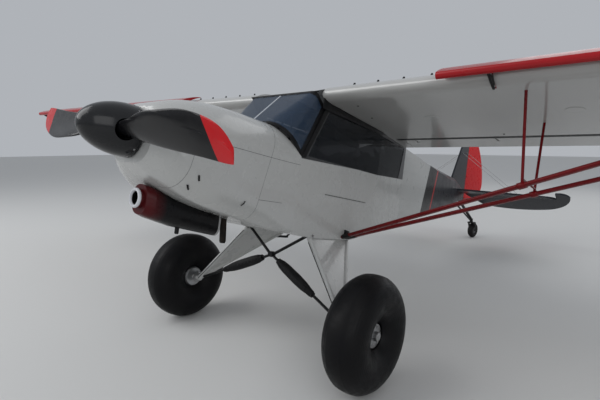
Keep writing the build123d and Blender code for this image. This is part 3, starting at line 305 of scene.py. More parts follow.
# Toggle catches and a drain line: two catches of pressed steel, painted black, hold the lower cowl on
# each side, and a short bent drain tube comes out behind the port ones.
black_fitting = finish("black_fitting_enamel", (0.008, 0.008, 0.009, 1), 0.42, specular=0.18)
weather(black_fitting, (0.05, 0.048, 0.045, 1), 0.25, 0.34, 0.5, 20)
# columns: place near the skin, the way the skin faces there
CATCH_SEATS = (
    ((0.331, -1.074, 0.805), (0.58, -0.51, -0.64)),
    ((0.382, -1.044, 0.864), (0.92, -0.32, -0.20)),
)
catches = []
for hand in (-1, 1):
    mirror = Vector((hand, 1, 1))
    for seat, way in CATCH_SEATS:
        outward = Vector(way) * mirror
        catches.append(on_skin("cowl_lower", Vector(seat) * mirror + outward * 0.3, -outward))


def ease_edges(offset, steps=2):
    """Rounds every edge of the mesh that is open for editing."""
    bpy.ops.mesh.select_all(action="SELECT")
    bpy.ops.mesh.bevel(offset=offset, segments=steps, affect="EDGES")


bpy.ops.object.select_all(action="DESELECT")
bpy.ops.mesh.primitive_cube_add(size=1, location=(0, 0, 0.003))
catch = bpy.context.object
catch.scale = (0.011, 0.034, 0.006)
bpy.ops.object.transform_apply(location=True, scale=True)
pick_faces(catch, at_top)
bpy.ops.mesh.inset(thickness=0.003, depth=0.003)
ease_edges(0.001)
bpy.ops.object.mode_set(mode="OBJECT")
set_out("cowl_toggle_catches", catch, catches, black_fitting)


def tube_along(name, points, radius, body="airframe"):
    """A bent black tube or line: a smooth curve through level-flight points, given its thickness."""
    bpy.ops.object.select_all(action="DESELECT")
    bpy.ops.curve.primitive_nurbs_path_add(location=(0, 0, 0))
    run = bpy.context.object
    run.data.splines.remove(run.data.splines[0])
    spline = run.data.splines.new("NURBS")
    spline.points.add(len(points) - 1)
    for point, place in zip(spline.points, points):
        point.co = (*level(*place), 1)
    spline.order_u = min(3, len(points))
    spline.use_endpoint_u = True
    spline.resolution_u = 5
    run.data.bevel_depth = radius
    run.data.bevel_resolution = 3
    run.data.use_fill_caps = True
    bpy.ops.object.convert(target="MESH")
    settle(name, black_fitting, body=body, angle=50)


tube_along(
    "cowl_drain_line_left",
    [(0.384, -0.70, 0.735), (0.392, -0.69, 0.745), (0.392, -0.676, 0.758), (0.385, -0.668, 0.766)],
    0.0035,
)

# Nose skins behind the cowling: riveted aluminium in the same paint, with a panel seam on each side. The
# door's lower half is a plain sheet in the silver paint of the fuselage.
NOSE_SEAM_HEIGHT = 0.788
boot_paint = cowl_paint.copy()
boot_paint.name = "nose_skin_gloss_paint"
boot_line = both(
    boot_paint,
    seam_line(boot_paint, (0, 0, 1), NOSE_SEAM_HEIGHT),
    beyond(boot_paint, (0, -1, 0), 0.299),
)
paint_over(boot_paint, SEAM_DARK, boot_line)
front_distance = firewall_seam.dot((0, -0.400, 1.355))
front_edge = seam_line(boot_paint, firewall_seam, front_distance, 0.0022)
paint_over(boot_paint, SEAM_DARK, front_edge)
dress(("boot_cowl",), boot_paint)

silver_paint = finish("silver_grey_gloss_paint", SILVER, 0.28, coat=0.4)
weather(silver_paint, DUST, 0.18, 0.22, 0.36)
relief(silver_paint, cloud(silver_paint, 3.2, 1), 0.003)
dress(("door_lower",), silver_paint)

# Engine: a cast block behind the cowling's inlets. Its shroud hangs below the nose, a dark red moulding
# that runs into black, with a pale rubber ring round its inlet. Heat has blackened the steel exhaust.
INLET_HEIGHT = 0.703
BORE_RADIUS = 0.041


def stripes(material, value, pitch, width):
    """A mask: 1 on bands of a width that come back at a pitch."""
    return figure(material, "LESS_THAN", figure(material, "MODULO", value, pitch), width)


engine_metal = finish("engine_metal", (0.10, 0.10, 0.105, 1), 0.5, metallic=0.8)
weather(engine_metal, (0.03, 0.028, 0.026, 1), 0.8, 0.4, 0.7, 9)
ribs = stripes(engine_metal, along(engine_metal, (0, 0, 1)), 0.014, 0.006)
relief(engine_metal, ribs, 0.004)
dress(("engine_block",), engine_metal)

shroud_black = finish("shroud_gloss", (0.005, 0.005, 0.006, 1), 0.3, coat=0.05, specular=0.16)
shroud_fade = between(shroud_black, along(shroud_black, (0, -1, 0)), 0.0, 0.9, 1.04, 1.15)
paint_over(shroud_black, (0.085, 0.003, 0.005, 1), shroud_fade)
pale_rear = beyond(shroud_black, (0, 1, 0), -0.624)
paint_over(shroud_black, (0.40, 0.40, 0.40, 1), pale_rear)
# Inside the inlet's bore the shroud is painted near black: painted shade in the opening.
bore_x = figure(shroud_black, "POWER", along(shroud_black, (1, 0, 0)), 2)
bore_up = figure(shroud_black, "SUBTRACT", along(shroud_black, (0, 0, 1)), INLET_HEIGHT)
bore = figure(shroud_black, "ADD", bore_x, figure(shroud_black, "POWER", bore_up, 2))
inlet_bore_shade = figure(shroud_black, "LESS_THAN", bore, BORE_RADIUS**2)
paint_over(shroud_black, (0.003, 0.003, 0.003, 1), inlet_bore_shade)
weather(shroud_black, (0.03, 0.028, 0.026, 1), 0.2, 0.24, 0.42, 8)
dress(("intake_scoop",), shroud_black)


def facing(direction):
    """The turn that points a primitive's Z along a direction given in level flight."""
    return (LEVEL_TURN @ Vector(direction)).to_track_quat("Z", "Y").to_euler()


pale_rubber = finish("pale_rubber", (0.62, 0.63, 0.66, 1), 0.55)
relief(pale_rubber, cloud(pale_rubber, 300, 2), 0.0004)
bpy.ops.object.select_all(action="DESELECT")
bpy.ops.mesh.primitive_torus_add(
    location=level(0, -1.199, INLET_HEIGHT),
    rotation=facing((0, -1, 0)),
    major_radius=0.050,
    minor_radius=0.0115,
    major_segments=40,
    minor_segments=14,
)
ring = bpy.context.object
pick_faces(ring, lambda face: face.center.length < 0.045)
bpy.ops.transform.shrink_fatten(value=-0.003)
settle("scoop_inlet_ring", pale_rubber, angle=60)


def at_either_end(face):
    """True of a face at the upper or the lower end of a primitive."""
    return abs(face.normal.z) > 0.9


def round_bar(place, way, radius, length, sides):
    """A plain cylinder at a place and along a direction, both in level flight, ready for shaping."""
    bpy.ops.object.select_all(action="DESELECT")
    bpy.ops.mesh.primitive_cylinder_add(
        vertices=sides, radius=radius, depth=length, location=level(*place), rotation=facing(way)
    )
    return bpy.context.object


nub = round_bar((0.03, -0.90, 0.528), (0, 0, -1), 0.014, 0.05, 20)
pick_faces(nub, at_either_end)
bpy.ops.mesh.inset(thickness=0.004, depth=0.004)
settle("scoop_drain_nub", black_fitting)

heat_black = finish("exhaust_heat_black", (0.007, 0.0068, 0.0065, 1), 0.6, specular=0.15)
weather(heat_black, (0.045, 0.032, 0.024, 1), 0.45, 0.45, 0.75, 22)
dress(("exhaust_pipe",), heat_black)

# Spinner and propeller: a dark glossy spinner with a row of screws, and two black composite blades, their
# tips painted red on a slant.
spinner_gloss = finish("spinner_gloss", (0.010, 0.0105, 0.012, 1), 0.18, coat=0.15, specular=0.28)
weather(spinner_gloss, (0.05, 0.05, 0.05, 1), 0.14, 0.13, 0.26, 6)
rear_line = seam_line(spinner_gloss, (0, 1, 0), -1.296, 0.0012)
paint_over(spinner_gloss, (0.005, 0.005, 0.005, 1), rear_line)
dress(("spinner",), spinner_gloss)

TIP_RED = (0.50, 0.010, 0.014, 1)
TIP_START = 0.895
TIP_SLANT = 0.6
BLADE_TURN = radians(5.4)
blade_gloss = finish("blade_gloss", (0.005, 0.005, 0.006, 1), 0.2, coat=0.06, specular=0.18)
span_way = (cos(BLADE_TURN), 0, -sin(BLADE_TURN))
out = figure(blade_gloss, "SUBTRACT", along(blade_gloss, span_way), -THRUST_HEIGHT * sin(BLADE_TURN))
chord_way = (sin(BLADE_TURN), 0, cos(BLADE_TURN))
across = figure(blade_gloss, "SUBTRACT", along(blade_gloss, chord_way), THRUST_HEIGHT * cos(BLADE_TURN))
trailing = figure(blade_gloss, "MULTIPLY", across, figure(blade_gloss, "SIGN", out))
slant = figure(blade_gloss, "MULTIPLY", trailing, TIP_SLANT)
reach_out = figure(blade_gloss, "ADD", figure(blade_gloss, "ABSOLUTE", out), slant)
paint_over(blade_gloss, TIP_RED, figure(blade_gloss, "GREATER_THAN", reach_out, TIP_START))
weather(blade_gloss, (0.03, 0.028, 0.026, 1), 0.08, 0.12, 0.24, 7)
dress(("propeller",), blade_gloss)

SCREW_LINE = -1.306
spinner_screws = []
for step in range(12):
    turn = radians(15 + 30 * step)
    x, up = sin(turn), cos(turn)
    if abs(x) < 0.9:  # none where a blade comes out
        start = (x * 0.4, SCREW_LINE, THRUST_HEIGHT + up * 0.4)
        spinner_screws.append(on_skin("spinner", start, (-x, 0, -up)))
screw = round_head(0.006, 0.0014)
set_out("spinner_screws", screw, spinner_screws, plated_steel, "propeller_unit")

# Cabin sides, roof and belly: painted aluminium on steel tube. The silver stops at the window sill and
# the surrounds above it are black. Inside, the walls, roof and floor are painted near black, as painted
# shade of the closed cabin.
TRIM_BLACK = (0.012, 0.012, 0.014, 1)
CABIN_SHADE = (0.014, 0.014, 0.016, 1)
SILL_HEIGHT = 1.143
# a wall's outside is at x = WALL_OUT - WALL_TAPER * aft, and forward of 1 m as it is there
WALL_OUT = 0.4655
WALL_TAPER = 0.1015
WALL_THICKNESS = 0.006
side_paint = finish("cabin_side_paint", SILVER, 0.28, coat=0.4)
weather(side_paint, DUST, 0.18, 0.22, 0.36)
relief(side_paint, cloud(side_paint, 3.2, 1), 0.004)
# A thin dark line is painted low along the port wall.
port_dark_line = both(
    side_paint,
    seam_line(side_paint, (0, 0.0125, 1), 0.9065, 0.0045),
    beyond(side_paint, (0, 1, 0), 0.198),
    beyond(side_paint, (0, -1, 0), -0.837),
    beyond(side_paint, (1, 0, 0), 0),
)
paint_over(side_paint, SEAM_DARK, port_dark_line)
above_sill = beyond(side_paint, (0, -0.045, 1), SILL_HEIGHT)
paint_over(side_paint, TRIM_BLACK, above_sill)
# The faces inside the wall are painted near black: painted shade inside the cabin.
side_x = figure(side_paint, "ABSOLUTE", along(side_paint, (1, 0, 0)))
side_aft = figure(side_paint, "MAXIMUM", along(side_paint, (0, 1, 0)), 1.0)
side_depth = figure(side_paint, "ADD", side_x, figure(side_paint, "MULTIPLY", side_aft, WALL_TAPER))
inside_wall_shade = figure(side_paint, "LESS_THAN", side_depth, WALL_OUT - WALL_THICKNESS)
paint_over(side_paint, CABIN_SHADE, inside_wall_shade)
dress(("cabin_side_left", "cabin_side_right"), side_paint)


def paint_cabin_shade(material, up):
    """Paints the faces that look up or down into the cabin near black, as painted shade of the cabin."""
    tree = material.node_tree
    geometry = tree.nodes.new("ShaderNodeNewGeometry")
    inward = along(material, (0, 0, up), geometry.outputs["True Normal"])
    paint_over(material, CABIN_SHADE, figure(material, "GREATER_THAN", inward, 0.25))


roof_paint = silver_paint.copy()
roof_paint.name = "cabin_roof_paint"
roof_x = figure(roof_paint, "ABSOLUTE", along(roof_paint, (1, 0, 0)))
paint_over(roof_paint, TRIM_BLACK, figure(roof_paint, "GREATER_THAN", roof_x, 0.338))
# Faces that look down into the cabin are painted near black, as painted shade.
paint_cabin_shade(roof_paint, -1)
dress(("cabin_roof",), roof_paint)
belly_paint = silver_paint.copy()
belly_paint.name = "belly_paint"
# Faces that look up into the cabin are painted near black, as painted shade.
paint_cabin_shade(belly_paint, 1)
dress(("belly_panel",), belly_paint)

# Rear fuselage: cloth doped over steel tube and stringers. The silver ends in a slanted black band, and
# behind that come a narrow red line and charcoal.
CHARCOAL = (0.012, 0.014, 0.020, 1)
LINE_RED = (0.42, 0.012, 0.012, 1)
BAND_BLACK = (0.006, 0.006, 0.007, 1)
BAND_WIDTH = 0.31
LINE_WIDTH = 0.04
band_slant = Vector((0, 0.9541, -0.2996))
band_start = band_slant.dot(Vector((0, 2.549, 1.489)))
line_start = band_start + BAND_WIDTH
cloth_paint = finish("rear_fuselage_cloth_paint", SILVER, 0.32, coat=0.06, specular=0.25)
paint_over(cloth_paint, BAND_BLACK, beyond(cloth_paint, band_slant, band_start))
paint_over(cloth_paint, LINE_RED, beyond(cloth_paint, band_slant, line_start))
paint_over(cloth_paint, CHARCOAL, beyond(cloth_paint, band_slant, line_start + LINE_WIDTH))
weather(cloth_paint, DUST, 0.05, 0.26, 0.42)
stringers = stripes(cloth_paint, along(cloth_paint, (0, -0.045, 1)), 0.155, 0.012)
relief(cloth_paint, stringers, 0.0012)
dress(("rear_fuselage",), cloth_paint)

# Windshield and windows: blown acrylic in black edging, the windshield faintly blue, the side windows and
# skylight darkened near black as painted shade of the cabin behind them. The edging follows the nose skins
# below, the slanted posts at the sides and the wing's nose above, and a pale strip braces the middle.
clear_acrylic = finish("clear_acrylic", (0.026, 0.050, 0.092, 1), 0.03, coat=0.2)
relief(clear_acrylic, cloud(clear_acrylic, 7, 1), 0.004)
acrylic_shader = clear_acrylic.node_tree.nodes["Principled BSDF"]
acrylic_shader.inputs["Alpha"].default_value = 0.58
acrylic_shader.inputs["IOR"].default_value = 1.49
dress(("windshield",), clear_acrylic)
shaded_window_acrylic = clear_acrylic.copy()
shaded_window_acrylic.name = "shaded_window_acrylic"
window_shader = shaded_window_acrylic.node_tree.nodes["Principled BSDF"]
# Side windows and skylight: near black and mostly opaque, painted shade of the cabin behind them.
window_shader.inputs["Base Color"].default_value = (0.010, 0.012, 0.015, 1)
window_shader.inputs["Coat Weight"].default_value = 0.0
window_shader.inputs["Specular IOR Level"].default_value = 0.18
window_shader.inputs["Alpha"].default_value = 0.74
dress(("side_windows", "door_window", "skylight"), shaded_window_acrylic)

black_trim = finish("black_edging", (0.006, 0.006, 0.007, 1), 0.4, specular=0.16)
weather(black_trim, (0.03, 0.029, 0.028, 1), 0.25, 0.32, 0.5, 12)
relief(black_trim, cloud(black_trim, 700, 1), 0.00015)
dress(("door_upper", "cabin_frame", "instrument_panel"), black_trim)


def windshield_strip(name, limits, lift, material):
    """Edging or a strip: the part of the windshield that lies behind every plane, raised off it."""
    bpy.ops.object.select_all(action="DESELECT")
    piece = node["windshield"].copy()
    piece.data = node["windshield"].data.copy()
    piece.animation_data_clear()
    bpy.context.collection.objects.link(piece)
    for key in list(piece.keys()):
        del piece[key]
    piece.parent = None
    piece.select_set(True)
    bpy.context.view_layer.objects.active = piece
    bpy.ops.object.mode_set(mode="EDIT")
    bpy.ops.mesh.select_all(action="SELECT")
    bpy.ops.mesh.remove_doubles(threshold=0.00001)
    for place, outward in limits:
        bpy.ops.mesh.select_all(action="SELECT")
        bpy.ops.mesh.bisect(
            plane_co=level(*place),
            plane_no=LEVEL_TURN @ Vector(outward),
            use_fill=True,
            clear_outer=True,
        )
    bpy.ops.mesh.select_all(action="SELECT")
    bpy.ops.transform.shrink_fatten(value=lift)
    bpy.ops.object.mode_set(mode="OBJECT")
    settle(name, material)


# columns: name, a point of the edge, the way in from it, width of the edging, how far it is raised
EDGINGS = (
    ("base", (0, -0.378, 1.350), (0, 0.6667, 0.7453), 0.024, 0.0022),
    ("top", (0, -0.050, 1.674), (0, -0.6208, -0.7840), 0.030, 0.0020),
    ("side", (0, -0.150, 1.146), (0, -0.8856, 0.4645), 0.034, 0.0026),
)
for edge_name, edge, inward, width, lift in EDGINGS:
    limit = Vector(edge) + Vector(inward) * width
    windshield_strip(f"windshield_{edge_name}_edging", [(limit, inward)], lift, black_trim)
pale_strip = finish("pale_bracing_strip", (0.40, 0.42, 0.45, 1), 0.4)
relief(pale_strip, cloud(pale_strip, 200, 1), 0.0002)
strip_limits = [((0.007, 0, 0), (1, 0, 0)), ((-0.007, 0, 0), (-1, 0, 0))]
windshield_strip("windshield_middle_strip", strip_limits, 0.0015, pale_strip)

# Wing root trim: a rubber-faced aluminium strip on each side, all black, that closes the gap between the
# cabin's wall and the wing.
# columns: aft, height of the wing's underside there
ROOT_LINE = ((0.020, 1.640), (0.110, 1.614), (0.400, 1.603), (0.700, 1.592), (0.985, 1.581))
ROOT_TRIM_X = 0.3745


def every_face(face):
    """True of any face."""
    return True


def thicken(sheet, push):
    """Gives a flat sheet its thickness by a push of its faces, and leaves its mesh open for editing."""
    pick_faces(sheet, every_face)
    bpy.ops.mesh.extrude_region_move(TRANSFORM_OT_translate={"value": push})
    bpy.ops.mesh.select_all(action="SELECT")
    bpy.ops.mesh.normals_make_consistent(inside=False)


def grid(columns, rows):
    """A flat grid of one metre at the origin."""
    bpy.ops.object.select_all(action="DESELECT")
    bpy.ops.mesh.primitive_grid_add(x_subdivisions=columns, y_subdivisions=rows, size=1, location=(0, 0, 0))
    return bpy.context.object


for hand, side_name, low in ((1, "left", 1.553), (-1, "right", 1.572)):
    root_trim = grid(len(ROOT_LINE) - 1, 1)
    for vertex in root_trim.data.vertices:
        aft, top = ROOT_LINE[round((vertex.co.x + 0.5) * (len(ROOT_LINE) - 1))]
        up = top if vertex.co.y > 0 else low
        vertex.co = level(hand * ROOT_TRIM_X, aft, up)
    thicken(root_trim, (hand * 0.010, 0, 0))
    ease_edges(0.002)
    settle(f"wing_root_trim_{side_name}", black_trim)

# Instruments: a black sheet panel with blank round dials in dark enamelled bezels, under a glare shield of
# stiff board covered in black cloth.
PANEL_FACE = -0.1098
# columns: x, height of a dial's middle
DIALS = (
    (-0.22, 1.10),
    (-0.11, 1.12),
    (0.0, 1.12),
    (0.11, 1.12),
    (0.22, 1.10),
    (-0.16, 1.02),
    (0.16, 1.02),
    (0.0, 1.02),
)
SHIELD_CROWN = 0.035
SHIELD_ARCH = 0.62
SHIELD_FALL = 0.10
dial_seats = [(level(x, PANEL_FACE, up), LEVEL_TURN @ Vector((0, 1, 0))) for x, up in DIALS]
bezel_metal = finish("bezel_enamel", (0.08, 0.08, 0.085, 1), 0.35, metallic=0.3)
relief(bezel_metal, cloud(bezel_metal, 400, 1), 0.0002)
dial = round_head(0.036, 0.007, 0.8, 28)
set_out("panel_dials", dial, dial_seats, bezel_metal)
shield = grid(12, 6)
shield.scale = (0.52, 0.15, 1)
bpy.ops.object.transform_apply(scale=True)
for vertex in shield.data.vertices:
    vertex.co.z = SHIELD_CROWN * cos(pi * vertex.co.x / SHIELD_ARCH) - SHIELD_FALL * vertex.co.y
shield.location = level(0, -0.190, 1.178)
shield.rotation_euler = (-GROUND_ANGLE, 0, 0)
bpy.ops.object.mode_set(mode="EDIT")
bpy.ops.mesh.select_all(action="SELECT")
bpy.ops.mesh.extrude_region_shrink_fatten(TRANSFORM_OT_shrink_fatten={"value": 0.006})
bpy.ops.mesh.select_all(action="SELECT")
bpy.ops.mesh.normals_make_consistent(inside=False)
shield_cloth = finish("glare_shield_cloth", (0.020, 0.020, 0.022, 1), 0.85)
relief(shield_cloth, cloud(shield_cloth, 900, 2), 0.0006)
settle("glare_shield", shield_cloth)

# Seats: one behind the other, each a foam cushion and back in black woven cloth with sewn channels, on a
# folded sheet pan. Two webbing straps come over each back.
WEAVE_RATE = 2200
STRAP_RATE = 1800


def waves(material, direction, rate):
    """Even waves from -1 to 1 along a direction, at a rate in radians a metre."""
    phase = figure(material, "MULTIPLY", along(material, direction), rate)
    return figure(material, "SINE", phase)


seat_cloth = finish("seat_woven_cloth", (0.018, 0.018, 0.021, 1), 0.85, specular=0.3)
weft = waves(seat_cloth, (1, 0, 0), WEAVE_RATE)
warp = waves(seat_cloth, (0, 0.7, 0.7), WEAVE_RATE)
weave = figure(seat_cloth, "MULTIPLY", weft, warp)
relief(seat_cloth, between(seat_cloth, weave, 0, 1, -1, 1), 0.0005)
worn = between(seat_cloth, cloud(seat_cloth, 60), 0, 0.5)
paint_over(seat_cloth, (0.036, 0.036, 0.040, 1), worn)
seat_cloth.node_tree.nodes["Principled BSDF"].inputs["Sheen Weight"].default_value = 0.25
strap_web = finish("harness_webbing", (0.16, 0.012, 0.014, 1), 0.75)
strap_rows = waves(strap_web, (1, 0, 0), STRAP_RATE)
relief(strap_web, between(strap_web, strap_rows, 0, 1, -1, 1), 0.0004)

CHANNELS = 5
CROWN_RISE = 0.010
CHANNEL_RISE = 0.009
FACE_SINK = 0.008
SIDE_PULL = 0.035
SHOULDER = 0.2  # the shaped face starts at this share of half the thickness
RIM = 0.9  # and the sides that pull in are beyond this share of half the width


def pad(name, middle, size, lean):
    """A cushion: a rounded foam block whose face is sewn down in channels."""
    bpy.ops.object.select_all(action="DESELECT")
    bpy.ops.mesh.primitive_cube_add(size=1, location=(0, 0, 0))
    cushion = bpy.context.object
    cushion.scale = size
    bpy.ops.object.transform_apply(scale=True)
    bpy.ops.object.mode_set(mode="EDIT")
    bpy.ops.mesh.select_all(action="SELECT")
    bpy.ops.mesh.subdivide(number_cuts=CHANNELS * 4 - 1)
    bpy.ops.object.mode_set(mode="OBJECT")
    half_x, half_y, half_z = (s / 2 for s in size)
    for vertex in cushion.data.vertices:
        x, y, z = vertex.co.x / half_x, vertex.co.y / half_y, vertex.co.z / half_z
        crown = CROWN_RISE * (1 - x * x) * (1 - y * y)
        groove = CHANNEL_RISE * abs(sin(pi * CHANNELS * (x + 1) / 2)) ** 0.6 * (1 - y**4)
        if z > SHOULDER:
            vertex.co.z += (crown + groove) * (z - SHOULDER) / (1 - SHOULDER) - FACE_SINK
        pull = 1 - SIDE_PULL * (1 - z * z) * (1 - abs(x * y))
        vertex.co.x *= pull if abs(x) > RIM else 1
        vertex.co.y *= pull if abs(y) > RIM else 1
    softened = cushion.modifiers.new("rounded", "SUBSURF")
    softened.levels = 1
    softened.render_levels = 1
    bpy.ops.object.modifier_apply(modifier=softened.name)
    cushion.location = level(*middle)
    cushion.rotation_euler = (lean - GROUND_ANGLE, 0, 0)
    settle(name, seat_cloth, angle=60)
    return cushion


def block(place, size):
    """A plain block of a size at a place, square to level flight, ready for shaping."""
    bpy.ops.object.select_all(action="DESELECT")
    bpy.ops.mesh.primitive_cube_add(size=1, location=level(*place), rotation=(-GROUND_ANGLE, 0, 0))
    piece = bpy.context.object
    piece.scale = size
    bpy.ops.object.transform_apply(scale=True)
    return piece


def at_either_side(face):
    """True of a face on the left or the right of a piece."""
    return abs(face.normal.x) > 0.9


BACK_TILT = radians(90 - 17.4)
# columns: name, front edge, width, top of the cushion, foot of the pan
SEATS = (("front_seat", 0.260, 0.430, 0.800, 0.575), ("rear_seat", 1.010, 0.460, 0.840, 0.655))
# columns: rise, way aft, of each stretch from the back's front over its top and down behind it
STRAP_RUN = ((0.14, 0.047), (0.12, 0.036), (0.05, 0.05), (-0.04, 0.05), (-0.16, -0.02))
for name, front, width, top, pan_foot in SEATS:
    cushion = pad(f"{name}_cushion", (0, front + 0.175, top - 0.045), (width - 0.01, 0.345, 0.085), 0)
    back = pad(f"{name}_back", (0, front + 0.425, top + 0.245), (width - 0.01, 0.475, 0.075), BACK_TILT)
    pan_top = top - 0.09
    pan = block((0, front + 0.19, (pan_top + pan_foot) / 2), (width - 0.03, 0.27, pan_top - pan_foot))
    pick_faces(pan, at_either_side)
    bpy.ops.mesh.inset(thickness=0.03, depth=-0.012)
    ease_edges(0.004)
    settle(f"{name}_pan", black_fitting)
    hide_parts(name)
    for hand, side_name in ((-1, "right"), (1, "left")):
        bpy.ops.object.select_all(action="DESELECT")
        bpy.ops.mesh.primitive_plane_add(
            size=1, location=level(hand * 0.10, front + 0.372, top + 0.20), rotation=(-GROUND_ANGLE, 0, 0)
        )
        strap = bpy.context.object
        strap.scale = (0.045, 0.004, 1)
        bpy.ops.object.transform_apply(scale=True)
        pick_faces(strap, every_face)
        for rise, aft in STRAP_RUN:
            step = LEVEL_TURN @ Vector((0, aft, rise))
            bpy.ops.mesh.extrude_region_move(TRANSFORM_OT_translate={"value": step})
        bpy.ops.mesh.select_all(action="SELECT")
        bpy.ops.mesh.normals_make_consistent(inside=False)
        settle(f"{name}_strap_{side_name}", strap_web)

# Control sticks: steel tubes in a black powder coat, which the gear's bare tubes share, each with a
# moulded plastic grip pushed over its end.
black_coat = finish("black_powder_coat", (0.006, 0.006, 0.007, 1), 0.42, specular=0.18)
weather(black_coat, (0.04, 0.038, 0.035, 1), 0.22, 0.36, 0.56, 14)
relief(black_coat, cloud(black_coat, 800, 1), 0.0002)
dress(("control_sticks",), black_coat)
for name, aft, up in (("front_stick_grip", 0.172, 0.885), ("rear_stick_grip", 0.942, 0.915)):
    grip = round_bar((0, aft, up), (0, -0.06, 1), 0.017, 0.11, 20)
    pick_faces(grip, at_top)
    bpy.ops.mesh.inset(thickness=0.005, depth=0.006)
    ease_edges(0.0015)
    settle(name, black_trim)

# Doors to starboard: the lower half drops and the upper half lifts. The lower one has a turned latch
# handle of black-painted steel, on a round base that is screwed to its sheet.
plate = round_bar((-0.3715, 0.86, 1.09), (-1, 0, 0), 0.017, 0.004, 24)
pick_faces(plate, at_top)
bpy.ops.mesh.inset(thickness=0.007, depth=0.002)
bpy.ops.mesh.inset(thickness=0.001, depth=0.012)
settle("door_handle_base", black_fitting, body="door_lower_body")
tube_along(
    "door_handle_lever",
    [(-0.386, 0.866, 1.09), (-0.387, 0.85, 1.09), (-0.388, 0.80, 1.089), (-0.387, 0.768, 1.084)],
    0.005,
    "door_lower_body",
)

# Wings, flaps and ailerons: cloth over ribs, taped along each rib, doped smooth and painted silver grey.
# The ribs and the tapes over them show as low ridges under the gloss.
RIB_PITCH = 0.305
TAPE_WIDTH = 0.05
DIHEDRAL = 0.01571
WING_FALL = 0.038255  # of the underside, for each metre aft of the front line
FRONT_LINE = 0.110


def wing_cloth(name):
    """Painted wing cloth: it lies on the ribs under pinked tapes and dips a little between them."""
    material = finish(name, (0.43, 0.43, 0.42, 1), 0.16, coat=0.55)
    weather(material, DUST, 0.16, 0.12, 0.22, 1.4)
    span = figure(material, "ABSOLUTE", along(material, (1, 0, 0)))
    swell = figure(material, "COSINE", figure(material, "MULTIPLY", span, 2 * pi / RIB_PITCH))
    relief(material, between(material, swell, 0, 1, -1, 1), 0.003)
    tape_edge = figure(material, "ADD", span, TAPE_WIDTH / 2)
    relief(material, stripes(material, tape_edge, RIB_PITCH, TAPE_WIDTH), 0.0004)
    return material


wing_paint = wing_cloth("wing_cloth_paint")
dress(("wing_left", "wing_right"), wing_paint)
surface_paint = wing_cloth("flap_and_aileron_cloth_paint")
dress(("flap_left", "flap_right", "aileron_left", "aileron_right"), surface_paint)

# Wing fittings: below, a black strip under the gap in front of the flap and the aileron, painted shade of
# that gap, and inspection covers of spun aluminium and rubber drain grommets. Above are a steel fuel cap and
# small plastic airflow tabs, and each tip has a moulded lamp, red to port and green to starboard.
GAP_STRIP_IN, GAP_STRIP_LENGTH = 0.390, 4.560
GAP_STRIP_AFT, GAP_STRIP_WIDTH = 1.262, 0.052
GAP_STRIP_HEIGHT = 1.6085
UNDER_WING, OVER_WING = 1.2, 2.2  # heights clear of the wing, from which its skin is looked for
